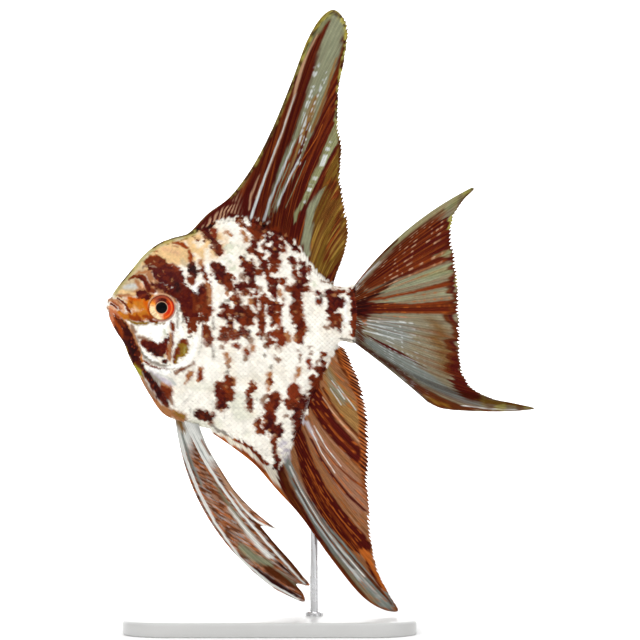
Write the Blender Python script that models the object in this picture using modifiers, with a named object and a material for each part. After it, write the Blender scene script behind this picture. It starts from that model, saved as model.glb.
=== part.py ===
"""A marble angelfish, life size, swimming to the left, held over a flat base by one rod.

Metres, +Z up. The fish faces -X and its left flank faces -Y. Shapes are drawn in millimetres in the
fish's own frame, whose origin is the tip of its snout with x running back to the tail, and place()
moves them into the part's frame, whose origin is the middle of the base's underside.
"""

import math

import bmesh
import bpy
import numpy as np
from mathutils import Matrix

MM = 0.001

# Where the snout's tip is over the middle of the base's underside
SNOUT_X, SNOUT_Z = -50.0, 101.0

# Gap left between pieces that meet
GAP = 0.3

# Stations of the body, from the lips to the root of the tail fin. Each is an arc seen from the side:
# top x, top z, bottom x, bottom z, how far its middle bulges back, half width, roundness of its edges
STATIONS = (
    (-0.45, 0.3, -0.45, -1.9, 0.0, 1.0, 1.0),
    (-0.1, 1.5, -0.2, -3.2, 0.0, 2.0, 1.0),
    (1.3, 3.7, 0.9, -5.9, 0.3, 2.9, 0.9),
    (3.6, 6.8, 2.6, -8.9, 0.8, 3.6, 0.75),
    (7.0, 10.9, 4.6, -11.9, 1.8, 4.5, 0.62),
    (11.0, 15.7, 5.9, -15.3, 3.8, 5.3, 0.52),
    (15.5, 19.1, 7.2, -18.1, 7.0, 6.0, 0.42),
    (20.0, 20.8, 8.3, -20.0, 10.5, 6.5, 0.34),
    (24.5, 22.0, 9.5, -22.4, 13.6, 6.9, 0.27),
    (29.0, 23.4, 12.2, -27.3, 13.2, 7.1, 0.22),
    (34.0, 25.4, 17.0, -33.9, 11.6, 7.1, 0.2),
    (39.0, 26.6, 24.5, -36.8, 9.2, 6.9, 0.18),
    (44.0, 26.3, 33.0, -39.0, 6.8, 6.5, 0.16),
    (50.0, 24.2, 42.0, -43.0, 4.6, 6.0, 0.16),
    (55.5, 21.0, 49.2, -50.0, 3.2, 5.4, 0.17),
    (59.5, 16.3, 53.2, -49.0, 2.2, 4.9, 0.2),
    (63.0, 11.5, 57.5, -41.6, 1.4, 4.4, 0.25),
    (66.5, 7.8, 62.5, -29.6, 0.8, 3.8, 0.32),
    (70.0, 5.9, 68.0, -17.3, 0.3, 3.1, 0.42),
    (73.0, 5.7, 71.5, -11.5, 0.1, 2.4, 0.55),
    (75.5, 6.4, 75.5, -12.0, 0.0, 1.5, 0.6),
)
GILL_STATION = 8.0
STALK_STATION = 18.0
LAST_STATION = len(STATIONS) - 1.0
RING_STEPS = 15

# Eyes: flattened balls let into the head
EYE_X, EYE_Z = 16.6, -0.9
EYE_RADIUS, EYE_HALF_DEPTH = 4.3, 2.1
EYE_Y = 4.9

# Lower jaw and gill covers, as outlines seen from the side
JAW_OUTLINE = ((-3, -1.1), (1.9, -1.5), (3.9, -3.6), (7.6, -8.0), (7.4, -12.0), (5.6, -18.0), (-3, -18.0))
COVER_OUTLINE = (
    (23.5, 6.4), (21.7, 1.0), (20.8, -6.0), (18.8, -12.5), (14.8, -16.6),
    (15.5, -24.0), (28.0, -24.0), (36.0, -12.0), (36.0, 4.0), (30.0, 8.0),
)  # fmt: skip
COVER_DEPTH = 3.4

# Fins: one line for each ray, from the front or upper ray to the last: where its root is, its tip's x
# and z, and its bend, which is how far it bows to its right for each millimetre of its length.
# Dorsal and anal rays spring from the body's outline, at a station.
DORSAL_RAYS = (
    (7.9, 25.4, 22.8, -0.02), (9.1, 30.6, 28.3, -0.02), (10.1, 37.6, 33.7, -0.02),
    (10.9, 44.6, 43.2, -0.02), (11.5, 50.8, 55.2, -0.02), (12.0, 57.0, 70.4, -0.02),
    (12.4, 61.3, 81.9, -0.02), (12.65, 65.4, 88.8, -0.02), (12.85, 69.2, 91.6, -0.03),
    (13.05, 72.4, 89.6, -0.04), (13.3, 74.3, 85.2, -0.05), (13.6, 73.4, 77.6, -0.05),
    (13.9, 71.6, 67.6, -0.05), (14.3, 71.1, 57.6, -0.05), (14.8, 72.3, 48.4, -0.05),
    (15.4, 71.9, 39.8, -0.05), (16.0, 73.2, 31.0, -0.05), (16.6, 74.3, 24.4, -0.05),
    (17.1, 73.8, 18.4, -0.05), (17.6, 71.9, 12.6, -0.05), (17.9, 70.3, 8.6, -0.05),
)  # fmt: skip
ANAL_RAYS = (
    (11.8, 32.2, -39.9, 0.0), (12.4, 37.8, -43.7, 0.0), (13.1, 45.2, -49.5, 0.01),
    (13.7, 51.8, -57.0, 0.02), (14.2, 59.4, -65.4, 0.01), (14.6, 68.6, -78.2, 0.0),
    (14.9, 77.4, -89.2, 0.01), (15.15, 84.0, -94.0, 0.03), (15.35, 89.6, -94.8, 0.05),
    (15.6, 87.0, -89.8, 0.04), (15.9, 83.8, -83.2, 0.04), (16.2, 81.7, -74.6, 0.04),
    (16.5, 81.0, -65.0, 0.05), (16.85, 80.4, -54.6, 0.05), (17.2, 80.7, -44.0, 0.05),
    (17.6, 80.3, -34.6, 0.05), (18.0, 78.3, -25.4, 0.05), (18.5, 75.0, -17.2, 0.04),
    (18.8, 73.4, -13.8, 0.04),
)  # fmt: skip
# The tail fin's rays spring from the end of the stalk, at a height
CAUDAL_ROOT_X = 76.1
CAUDAL_RAYS = (
    (6.2, 112.4, 36.4, -0.058), (5.6, 113.2, 35.8, -0.05), (5.0, 109.9, 32.4, -0.03),
    (4.0, 107.0, 27.2, -0.02), (2.8, 106.3, 21.0, -0.01), (1.5, 107.5, 14.0, 0.0),
    (0.1, 108.3, 6.6, 0.0), (-1.6, 108.6, -0.6, 0.0), (-3.4, 108.9, -8.0, 0.0),
    (-5.2, 108.9, -15.2, 0.01), (-6.8, 110.0, -21.4, 0.03), (-8.0, 113.4, -26.2, 0.045),
    (-9.0, 119.6, -29.2, 0.07), (-9.9, 126.4, -30.6, 0.08), (-10.5, 132.2, -32.2, 0.08),
    (-11.0, 124.0, -33.1, 0.065), (-11.4, 112.4, -33.0, 0.035), (-11.7, 103.4, -32.2, 0.0),
    (-11.8, 98.8, -30.2, -0.012),
)  # fmt: skip
# The pelvic fins spring from lines under the breast, at a share along them
PELVIC_LEFT_RAYS = (
    (0.0, 60.9, -86.6, 0.058), (0.3, 61.2, -86.0, 0.048), (0.6, 61.3, -85.3, 0.036),
    (0.85, 59.0, -82.2, 0.03), (1.0, 54.4, -75.8, 0.03),
)  # fmt: skip
PELVIC_RIGHT_RAYS = (
    (0.0, 52.0, -89.0, 0.11), (0.08, 60.0, -92.6, 0.12), (0.2, 60.2, -90.2, 0.115),
    (0.32, 58.0, -87.0, 0.11), (0.44, 62.2, -87.2, 0.1), (0.56, 55.6, -80.2, 0.08),
    (0.68, 47.0, -70.8, 0.06), (0.8, 39.0, -60.8, 0.05), (0.9, 32.6, -50.6, 0.04),
    (1.0, 26.6, -40.2, 0.04),
)  # fmt: skip
PELVIC_LEFT_ROOT = ((23.9, -37.3), (28.4, -38.4))
PELVIC_RIGHT_ROOT = ((20.6, -36.7), (25.2, -37.8))
PELVIC_ROOT_Y, PELVIC_SPREAD = 1.0, 6.0
# So do the clear pectoral fins, from lines behind the gill covers
PECTORAL_RAYS = (
    (0.0, 41.0, -6.6, 0.0), (0.2, 45.4, -8.4, 0.0), (0.4, 47.6, -11.8, 0.0),
    (0.6, 46.6, -15.6, 0.0), (0.8, 42.4, -18.6, 0.0), (1.0, 36.6, -19.8, 0.0),
)  # fmt: skip
PECTORAL_ROOT = ((30.2, -10.2), (29.6, -15.4))
PECTORAL_ROOT_Y, PECTORAL_SPREAD = 7.5, 3.2

FIN_ROOT_THICK, FIN_EDGE_THICK = 1.1, 0.55
RAY_STEPS, RAYS_BETWEEN = 6, 2

# Stand: a plate and one rod, which is let into the plate and into the far flank
BASE_LENGTH, BASE_DEPTH, BASE_THICK, BASE_CORNER, BASE_EDGE = 90.0, 52.0, 4.5, 14.0, 0.8
ROD_RADIUS, ROD_X, ROD_Y = 1.2, 63.6, 2.5
ROD_TOP_Z, ROD_FOOT_Z = -8.0, 1.6


def place(points):
    """Fish-frame millimetres to part-frame metres."""
    points = np.asarray(points, float)
    return (points + np.array([SNOUT_X, 0.0, SNOUT_Z])) * MM


def smooth(values, at):
    """A smooth curve through evenly numbered values: on each span a cubic whose slopes are half the
    difference of the neighbours."""
    values = np.asarray(values, float)
    if values.ndim == 1:
        values = values[:, None]
    at = np.clip(np.asarray(at, float), 0.0, len(values) - 1.0)
    padded = np.vstack([2 * values[0] - values[1], values, 2 * values[-1] - values[-2]])
    span = np.minimum(at.astype(int), len(values) - 2)
    f = (at - span)[:, None]
    before, start, end, after = (padded[span + k] for k in range(4))
    slope_start, slope_end = (end - before) / 2, (after - start) / 2
    return (
        start
        + slope_start * f
        + (3 * (end - start) - 2 * slope_start - slope_end) * f**2
        + (2 * (start - end) + slope_start + slope_end) * f**3
    )


def section(station, share):
    """Points of the left flank at stations and at shares from the top edge (0) to the bottom one (1).
    Seen from the side a station is its chord plus a parabola that bulges back. Its half width is a mix
    of a sine, which rounds the edges, and a squared sine, which draws them out thin."""
    top_x, top_z, low_x, low_z, bulge, half, roundness = smooth(STATIONS, station).T
    angle = np.arccos(1 - 2 * share)
    x = top_x + (low_x - top_x) * share + 4 * bulge * share * (1 - share)
    z = top_z + (low_z - top_z) * share
    y = -half * (roundness * np.sin(angle) + (1 - roundness) * np.sin(angle) ** 2)
    return np.stack([x, y, z], axis=-1)


def outline_point(station, share):
    """A point of the body's side outline, at its top (share 0) or bottom (share 1), pushed out by the gap."""
    station = np.atleast_1d(np.asarray(station, float))
    ends = np.full_like(station, float(share))
    point = section(station, ends)
    along = section(station + 0.02, ends) - section(station - 0.02, ends)
    along /= np.linalg.norm(along, axis=1)[:, None]
    outward = np.stack([-along[:, 2], along[:, 1], along[:, 0]], axis=1)
    return point + (GAP if share < 0.5 else -GAP) * outward


def new_object(name, vertices, faces, material):
    mesh = bpy.data.meshes.new(name)
    mesh.from_pydata([tuple(v) for v in vertices], [], faces)
    mesh.validate()
    mesh.materials.append(material)
    made = bpy.data.objects.new(name, mesh)
    PARTS.objects.link(made)
    return made


def to_cutters(cutter):
    for owner in cutter.users_collection:
        owner.objects.unlink(cutter)
    CUTTERS.objects.link(cutter)
    cutter.hide_render = True
    cutter.display_type = "WIRE"
    return cutter


def paint(name, color, roughness, metallic=0.0):
    made = bpy.data.materials.new(name)
    made.use_nodes = True
    shader = made.node_tree.nodes["Principled BSDF"]
    shader.inputs["Base Color"].default_value = (*color, 1.0)
    shader.inputs["Roughness"].default_value = roughness
    shader.inputs["Metallic"].default_value = metallic
    return made


def body_length(name, first, last, steps, material, inset=0.0):
    """One closed length of the body between two stations. inset draws its front end back by that much,
    square to the station's arc, which leaves the gap to the piece before it."""
    share = (1 - np.cos(np.linspace(0, math.pi, RING_STEPS + 1))) / 2
    rings = []
    for station in np.linspace(first, last, steps + 1):
        left = section(np.full_like(share, station), share)
        if inset and station == first:
            run = np.gradient(left[:, [0, 2]], axis=0)
            run /= np.linalg.norm(run, axis=1)[:, None]
            left[:, 0] -= inset * run[:, 1]
            left[:, 2] += inset * run[:, 0]
        right = left[-2:0:-1] * [1, -1, 1]
        rings.append(np.vstack([left, right]))
    count = 2 * RING_STEPS
    faces = [
        (a * count + i, a * count + (i + 1) % count, (a + 1) * count + (i + 1) % count, (a + 1) * count + i)
        for a in range(steps)
        for i in range(count)
    ]
    for ring, turn in ((0, -1), (steps, 1)):
        at = ring * count
        strip = [(at, at + 1, at + count - 1)]
        strip += [(at + i, at + i + 1, at + count - i - 1, at + count - i) for i in range(1, RING_STEPS - 1)]
        strip.append((at + RING_STEPS - 1, at + RING_STEPS, at + RING_STEPS + 1))
        faces += [face[::turn] for face in strip]
    made = new_object(name, place(np.vstack(rings)), faces, material)
    shade(made)
    return made


def shade(made):
    made.data.shade_smooth()
    made.data.set_sharp_from_angle(angle=math.radians(40))


def grown(outline, by):
    """A closed outline with each corner moved outward along its two sides' mean normal."""
    points = np.asarray(outline, float)
    ahead = np.roll(points, -1, axis=0) - points
    ahead /= np.linalg.norm(ahead, axis=1)[:, None]
    normal = np.stack([ahead[:, 1], -ahead[:, 0]], axis=1)
    area = np.sum(points[:, 0] * np.roll(points[:, 1], -1) - np.roll(points[:, 0], -1) * points[:, 1])
    mean = normal + np.roll(normal, 1, axis=0)
    mean /= (mean * mean).sum(axis=1)[:, None] / 2
    return points + mean * by * np.sign(area)


def prism(name, outline, low_y, high_y):
    """A cutter: an outline seen from the side, carried across from low_y to high_y."""
    points = [(x, y, z) for y in (low_y, high_y) for x, z in outline]
    count = len(outline)
    sides = [(i, (i + 1) % count, count + (i + 1) % count, count + i) for i in range(count)]
    near, far = tuple(range(count))[::-1], tuple(range(count, 2 * count))
    made = new_object(name, place(points), [near, far, *sides], SKIN)
    face_outward(made)
    return to_cutters(made)


def face_outward(made):
    shape = bmesh.new()
    shape.from_mesh(made.data)
    bmesh.ops.recalc_face_normals(shape, faces=shape.faces)
    shape.to_mesh(made.data)
    shape.free()


def spheroid(name, side, grow, material):
    """A flattened ball at the eye's place, on the left (-1) or right (1) flank."""
    made = new_object(name, [], [], material)
    shape = bmesh.new()
    bmesh.ops.create_uvsphere(shape, u_segments=20, v_segments=10, radius=1.0)
    bmesh.ops.rotate(shape, verts=shape.verts, matrix=Matrix.Rotation(math.pi / 2, 3, "X"))
    radii = (EYE_RADIUS + grow, EYE_HALF_DEPTH + grow, EYE_RADIUS + grow)
    bmesh.ops.scale(shape, verts=shape.verts, vec=[r * MM for r in radii])
    bmesh.ops.translate(shape, verts=shape.verts, vec=place((EYE_X, side * EYE_Y, EYE_Z)))
    shape.to_mesh(made.data)
    shape.free()
    shade(made)
    return made


def cylinder(name, x, y, low_z, high_z, radius, material, segments=20):
    """An upright rod in the part's own millimetres."""
    made = new_object(name, [], [], material)
    shape = bmesh.new()
    bmesh.ops.create_cone(
        shape,
        cap_ends=True,
        segments=segments,
        radius1=radius * MM,
        radius2=radius * MM,
        depth=(high_z - low_z) * MM,
    )
    bmesh.ops.translate(shape, verts=shape.verts, vec=(x * MM, y * MM, (low_z + high_z) / 2 * MM))
    shape.to_mesh(made.data)
    shape.free()
    shade(made)
    return made


def boolean(target, cutter, operation):
    change = target.modifiers.new(cutter.name, "BOOLEAN")
    change.operation = operation
    change.object = cutter
    change.solver = "EXACT"


def copy_of(source, name, material):
    made = source.copy()
    made.data = source.data.copy()
    made.data.materials.clear()
    made.data.materials.append(material)
    made.name = name
    PARTS.objects.link(made)
    return made


def head_pieces():
    """The head is lofted whole. The lower jaw and the gill covers are what their outlines take from it,
    and the head keeps the rest, less the gaps and the eye sockets."""
    head = body_length("head", 0.0, GILL_STATION, 16, SKIN)
    jaw = copy_of(head, "lower_jaw", SKIN)
    boolean(jaw, prism("jaw_outline", JAW_OUTLINE, -15, 15), "INTERSECT")
    boolean(head, prism("jaw_clearance", grown(JAW_OUTLINE, GAP), -15, 15), "DIFFERENCE")
    for side, word in ((-1, "left"), (1, "right")):
        cover = copy_of(head, "gill_cover_" + word, SKIN)
        cover.modifiers.clear()
        near, far = sorted((side * COVER_DEPTH, side * 15))
        boolean(cover, prism("cover_outline_" + word, COVER_OUTLINE, near, far), "INTERSECT")
        near, far = sorted((side * (COVER_DEPTH - GAP), side * 15.5))
        clearance = prism("cover_clearance_" + word, grown(COVER_OUTLINE, GAP), near, far)
        boolean(head, clearance, "DIFFERENCE")
        spheroid("eye_" + word, side, 0.0, EYE)
        boolean(head, to_cutters(spheroid("socket_" + word, side, GAP, SKIN)), "DIFFERENCE")


def fin(name, roots, rays, sway, material):
    """A fin is a fan of rays. Each runs from its root to its tip along a parabola that bows to the ray's
    right, as seen with x to the right, by its bend times its length. sway gives the place across (y)
    from the share along the fin and the share along the ray. Solidify gives the thickness, which tapers
    outward."""
    count = len(rays)
    at = np.linspace(0, count - 1, (count - 1) * RAYS_BETWEEN + 1)
    root, tip, bend = smooth(roots, at), smooth(rays[:, 1:3], at), smooth(rays[:, 3], at)
    along = np.linspace(0, 1, RAY_STEPS + 1)[None, :, None]
    run = tip - root
    bow = np.stack([run[:, 1], -run[:, 0]], axis=1) * bend
    flat = root[:, None] + run[:, None] * along + 4 * bow[:, None] * along * (1 - along)
    across = np.linspace(0, 1, len(at))[:, None] * np.ones(RAY_STEPS + 1)
    y = sway(across, along[0, :, 0][None, :] * np.ones_like(across))
    points = np.stack([flat[..., 0], y, flat[..., 1]], axis=-1).reshape(-1, 3)
    row = RAY_STEPS + 1
    faces = [
        (a * row + i, a * row + i + 1, (a + 1) * row + i + 1, (a + 1) * row + i)
        for a in range(len(at) - 1)
        for i in range(RAY_STEPS)
    ]
    made = new_object(name, place(points), faces, material)
    rooted = made.vertex_groups.new(name="near the root")
    for i in range(row):
        rooted.add(list(range(i, len(points), row)), float(1 - i / RAY_STEPS) ** 2, "REPLACE")
    wall = made.modifiers.new("thickness", "SOLIDIFY")
    wall.thickness = FIN_ROOT_THICK * MM
    wall.offset = 0.0
    wall.vertex_group = rooted.name
    wall.thickness_vertex_group = FIN_EDGE_THICK / FIN_ROOT_THICK
    shade(made)


def on_line(line, rays):
    """Roots at the rays' shares along a straight line."""
    start, end = np.array(line)
    return start + (end - start) * rays[:, :1]


def splayed(roots, rays, side):
    """The sway of a pelvic fin: it leaves the middle with the distance from its root, so that its short
    rays stay beside the long ones."""
    reach = np.linalg.norm(rays[:, 1:3] - roots, axis=1)
    reach = reach / reach.max()
    shares = np.linspace(0, 1, len(rays))
    return lambda s, t: side * (PELVIC_ROOT_Y + PELVIC_SPREAD * (t * np.interp(s, shares, reach)) ** 0.8)


def fins():
    rays = np.array(DORSAL_RAYS)
    roots = outline_point(rays[:, 0], 0.0)[:, [0, 2]]
    fin("fin_dorsal", roots, rays, lambda s, t: 1.3 * t**2 * np.sin(5 * s + 0.4), FIN)

    rays = np.array(ANAL_RAYS)
    roots = outline_point(rays[:, 0], 1.0)[:, [0, 2]]
    fin("fin_anal", roots, rays, lambda s, t: -(t**2) * (1 + 0.6 * np.sin(9 * s)), FIN)

    rays = np.array(CAUDAL_RAYS)
    roots = np.stack([np.full(len(rays), CAUDAL_ROOT_X), rays[:, 0]], axis=1)
    fin("fin_caudal", roots, rays, lambda s, t: t**2 * (1.2 + 0.9 * np.sin(11 * s)), FIN)

    left, right, pectoral = (np.array(r) for r in (PELVIC_LEFT_RAYS, PELVIC_RIGHT_RAYS, PECTORAL_RAYS))
    for word, side, pelvic, line in (
        ("left", -1, left, PELVIC_LEFT_ROOT),
        ("right", 1, right, PELVIC_RIGHT_ROOT),
    ):
        roots = on_line(line, pelvic)
        fin("fin_pelvic_" + word, roots, pelvic, splayed(roots, pelvic, side), FIN)
        splay = lambda s, t, side=side: side * (PECTORAL_ROOT_Y + PECTORAL_SPREAD * t)
        fin("fin_pectoral_" + word, on_line(PECTORAL_ROOT, pectoral), pectoral, splay, CLEAR_FIN)


def stand():
    """A flat plate with round corners, and the rod up to the trunk, each with its seat cut for the gap."""
    half_x, half_y = BASE_LENGTH / 2 - BASE_CORNER, BASE_DEPTH / 2 - BASE_CORNER
    turn = np.radians(np.arange(0, 91, 15))
    corners = [(half_x, half_y, 0), (-half_x, half_y, 90), (-half_x, -half_y, 180), (half_x, -half_y, 270)]
    outline = [
        (cx + BASE_CORNER * math.cos(a + math.radians(d)), cy + BASE_CORNER * math.sin(a + math.radians(d)))
        for cx, cy, d in corners
        for a in turn
    ]
    count = len(outline)
    levels = ((0.0, 0.0), (0.0, BASE_THICK - BASE_EDGE), (BASE_EDGE, BASE_THICK))
    points = []
    for inset, z in levels:
        ring = grown(outline, -inset)
        points += [(x * MM, y * MM, z * MM) for x, y in ring]
    faces = [
        (k * count + i, k * count + (i + 1) % count, (k + 1) * count + (i + 1) % count, (k + 1) * count + i)
        for k in range(len(levels) - 1)
        for i in range(count)
    ]
    faces += [tuple(range(count))[::-1], tuple(range((len(levels) - 1) * count, len(levels) * count))]
    base = new_object("stand_base", points, faces, PLATE)
    x, top = ROD_X + SNOUT_X, ROD_TOP_Z + SNOUT_Z
    cylinder("stand_rod", x, ROD_Y, ROD_FOOT_Z, top, ROD_RADIUS, STEEL)
    seat = cylinder("rod_seat", x, ROD_Y, ROD_FOOT_Z - GAP, BASE_THICK + 5, ROD_RADIUS + GAP, PLATE)
    boolean(base, to_cutters(seat), "DIFFERENCE")
    return to_cutters(cylinder("rod_socket", x, ROD_Y, 20.0, top + GAP, ROD_RADIUS + GAP, SKIN))


for old in list(bpy.data.objects):
    bpy.data.objects.remove(old)
PARTS = bpy.data.collections.new("marble_angelfish")
CUTTERS = bpy.data.collections.new("cutters")
for collection in (PARTS, CUTTERS):
    bpy.context.scene.collection.children.link(collection)
SKIN = paint("silver_skin", (0.82, 0.78, 0.7), 0.35)
EYE = paint("eye", (0.75, 0.16, 0.03), 0.1)
FIN = paint("fin", (0.42, 0.24, 0.13), 0.45)
CLEAR_FIN = paint("clear_fin", (0.8, 0.82, 0.8), 0.3)
PLATE = paint("stand_plate", (0.72, 0.71, 0.68), 0.5)
STEEL = paint("stand_steel", (0.6, 0.6, 0.6), 0.3, 1.0)

head_pieces()
trunk = body_length("trunk", GILL_STATION, STALK_STATION, 20, SKIN, inset=GAP)
body_length("tail_stalk", STALK_STATION, LAST_STATION, 4, SKIN, inset=GAP)
fins()
boolean(trunk, stand(), "DIFFERENCE")
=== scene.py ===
"""Finish of the marble angelfish model on its display stand: skin, scales, fins, eyes and stand.

The fish is worked out in millimetres from the tip of its snout: x runs back to the tail, y to its right
and z up. place() carries that to the frame's metres."""

import math

import bmesh
import bpy
import numpy as np
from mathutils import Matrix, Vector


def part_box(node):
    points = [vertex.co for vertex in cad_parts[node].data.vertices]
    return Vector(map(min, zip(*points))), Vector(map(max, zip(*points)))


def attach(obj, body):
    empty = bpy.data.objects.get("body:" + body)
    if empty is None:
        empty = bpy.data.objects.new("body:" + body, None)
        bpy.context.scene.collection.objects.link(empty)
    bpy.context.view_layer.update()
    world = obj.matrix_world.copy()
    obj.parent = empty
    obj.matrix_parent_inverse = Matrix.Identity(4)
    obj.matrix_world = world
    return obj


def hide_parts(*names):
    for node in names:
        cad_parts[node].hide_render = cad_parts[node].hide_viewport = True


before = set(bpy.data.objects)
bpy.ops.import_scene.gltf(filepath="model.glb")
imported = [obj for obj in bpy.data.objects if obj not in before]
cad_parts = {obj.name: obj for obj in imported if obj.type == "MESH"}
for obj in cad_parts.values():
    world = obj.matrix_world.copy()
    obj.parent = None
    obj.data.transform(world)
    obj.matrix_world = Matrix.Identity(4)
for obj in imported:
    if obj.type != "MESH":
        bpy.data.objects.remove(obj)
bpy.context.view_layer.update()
MM = 0.001

# The body, as in the part: one row for each station, from the lips to the root of the tail fin:
# top x, top z, bottom x, bottom z, how far its middle bulges back, half width, roundness of its edges
STATIONS = (
    (-0.45, 0.3, -0.45, -1.9, 0, 1, 1), (-0.1, 1.5, -0.2, -3.2, 0, 2, 1),
    (1.3, 3.7, 0.9, -5.9, 0.3, 2.9, 0.9), (3.6, 6.8, 2.6, -8.9, 0.8, 3.6, 0.75),
    (7, 10.9, 4.6, -11.9, 1.8, 4.5, 0.62), (11, 15.7, 5.9, -15.3, 3.8, 5.3, 0.52),
    (15.5, 19.1, 7.2, -18.1, 7, 6, 0.42), (20, 20.8, 8.3, -20, 10.5, 6.5, 0.34),
    (24.5, 22, 9.5, -22.4, 13.6, 6.9, 0.27), (29, 23.4, 12.2, -27.3, 13.2, 7.1, 0.22),
    (34, 25.4, 17, -33.9, 11.6, 7.1, 0.2), (39, 26.6, 24.5, -36.8, 9.2, 6.9, 0.18),
    (44, 26.3, 33, -39, 6.8, 6.5, 0.16), (50, 24.2, 42, -43, 4.6, 6, 0.16),
    (55.5, 21, 49.2, -50, 3.2, 5.4, 0.17), (59.5, 16.3, 53.2, -49, 2.2, 4.9, 0.2),
    (63, 11.5, 57.5, -41.6, 1.4, 4.4, 0.25), (66.5, 7.8, 62.5, -29.6, 0.8, 3.8, 0.32),
    (70, 5.9, 68, -17.3, 0.3, 3.1, 0.42), (73, 5.7, 71.5, -11.5, 0.1, 2.4, 0.55),
    (75.5, 6.4, 75.5, -12, 0, 1.5, 0.6),
)
EYE_X, EYE_Y, EYE_Z = 16.6, 4.9, -0.9
EYE_RADIUS, EYE_HALF_DEPTH = 4.3, 2.1
EYE_SHOWS = 3.9  # radius of the opening that the eye shows in
EYE_RIM_Y = 5.78  # how far the opening's rim is from the middle of the head
PUPIL = 1.72

# Fin rays, as in the part: where the root is, the tip's x and z, and the bend. Only the left pelvic fin
# has two rays more, for the short filament at its side
DORSAL_RAYS = (
    (7.9, 25.4, 22.8, -0.02), (9.1, 30.6, 28.3, -0.02), (10.1, 37.6, 33.7, -0.02),
    (10.9, 44.6, 43.2, -0.02), (11.5, 50.8, 55.2, -0.02), (12, 57, 70.4, -0.02), (12.4, 61.3, 81.9, -0.02),
    (12.65, 65.4, 88.8, -0.02), (12.85, 69.2, 91.6, -0.03), (13.05, 72.4, 89.6, -0.04),
    (13.3, 74.3, 85.2, -0.05), (13.6, 73.4, 77.6, -0.05), (13.9, 71.6, 67.6, -0.05),
    (14.3, 71.1, 57.6, -0.05), (14.8, 72.3, 48.4, -0.05), (15.4, 71.9, 39.8, -0.05), (16, 73.2, 31, -0.05),
    (16.6, 74.3, 24.4, -0.05), (17.1, 73.8, 18.4, -0.05), (17.6, 71.9, 12.6, -0.05),
    (17.9, 70.3, 8.6, -0.05),
)
ANAL_RAYS = (
    (11.8, 32.2, -39.9, 0), (12.4, 37.8, -43.7, 0), (13.1, 45.2, -49.5, 0.01), (13.7, 51.8, -57, 0.02),
    (14.2, 59.4, -65.4, 0.01), (14.6, 68.6, -78.2, 0), (14.9, 77.4, -89.2, 0.01), (15.15, 84, -94, 0.03),
    (15.35, 89.6, -94.8, 0.05), (15.6, 87, -89.8, 0.04), (15.9, 83.8, -83.2, 0.04),
    (16.2, 81.7, -74.6, 0.04), (16.5, 81, -65, 0.05), (16.85, 80.4, -54.6, 0.05), (17.2, 80.7, -44, 0.05),
    (17.6, 80.3, -34.6, 0.05), (18, 78.3, -25.4, 0.05), (18.5, 75, -17.2, 0.04), (18.8, 73.4, -13.8, 0.04),
)
CAUDAL_ROOT_X = 76.1
CAUDAL_RAYS = (
    (6.2, 112.4, 36.4, -0.058), (5.6, 113.2, 35.8, -0.05), (5, 109.9, 32.4, -0.03), (4, 107, 27.2, -0.02),
    (2.8, 106.3, 21, -0.01), (1.5, 107.5, 14, 0), (0.1, 108.3, 6.6, 0), (-1.6, 108.6, -0.6, 0),
    (-3.4, 108.9, -8, 0), (-5.2, 108.9, -15.2, 0.01), (-6.8, 110, -21.4, 0.03), (-8, 113.4, -26.2, 0.045),
    (-9, 119.6, -29.2, 0.07), (-9.9, 126.4, -30.6, 0.08), (-10.5, 132.2, -32.2, 0.08),
    (-11, 124, -33.1, 0.065), (-11.4, 112.4, -33, 0.035), (-11.7, 103.4, -32.2, 0),
    (-11.8, 98.8, -30.2, -0.012),
)
PELVIC_LEFT_ROOT = ((23.9, -37.3), (28.4, -38.4))
PELVIC_LEFT_RAYS = (
    (0, 60.9, -86.6, 0.058), (0.3, 61.2, -86, 0.048), (0.6, 61.3, -85.3, 0.036), (0.8, 56, -78.6, 0.036),
    (0.88, 46.8, -68.9, 0.055), (1, 52.2, -69.2, 0.083),
)
PELVIC_RIGHT_ROOT = ((20.6, -36.7), (25.2, -37.8))
PELVIC_RIGHT_RAYS = (
    (0, 52, -89, 0.11), (0.08, 60, -92.6, 0.12), (0.2, 60.2, -90.2, 0.115), (0.32, 58, -87, 0.11),
    (0.44, 62.2, -87.2, 0.1), (0.56, 55.6, -80.2, 0.08), (0.68, 47, -70.8, 0.06), (0.8, 39, -60.8, 0.05),
    (0.9, 32.6, -50.6, 0.04), (1, 26.6, -40.2, 0.04),
)
PECTORAL_ROOT = ((30.2, -10.2), (29.6, -15.4))
PECTORAL_RAYS = (
    (0, 41, -6.6, 0), (0.2, 45.4, -8.4, 0), (0.4, 47.6, -11.8, 0), (0.6, 46.6, -15.6, 0),
    (0.8, 42.4, -18.6, 0), (1, 36.6, -19.8, 0),
)

eye_low, eye_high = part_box("eye_left")
SNOUT = np.array([(eye_low.x + eye_high.x) / 2 / MM - EYE_X, 0.0, (eye_low.z + eye_high.z) / 2 / MM - EYE_Z])


def place(points):
    """Fish millimetres to the frame's metres."""
    return (np.asarray(points, float) + SNOUT) * MM


# ---------------------------------------------------------------- arrays


def smooth(values, at):
    """Values at fractions between evenly numbered rows: a cubic through the rows, whose slope at each is
    half the difference of its neighbours."""
    values = np.asarray(values, float)
    values = values[:, None] if values.ndim == 1 else values
    at = np.clip(np.asarray(at, float), 0.0, len(values) - 1.0)
    padded = np.vstack([2 * values[0] - values[1], values, 2 * values[-1] - values[-2]])
    span = np.minimum(at.astype(int), len(values) - 2)
    f = (at - span)[..., None]
    before, start, end, after = (padded[span + k] for k in range(4))
    first, last = (end - before) / 2, (after - start) / 2
    squared, cubed = 3 * (end - start) - 2 * first - last, 2 * (start - end) + first + last
    return start + first * f + squared * f**2 + cubed * f**3


def step(low, high, value):
    """0 below low, 1 above high, and an S curve between."""
    f = np.clip((value - low) / (high - low), 0, 1)
    return f * f * (3 - 2 * f)


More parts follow.
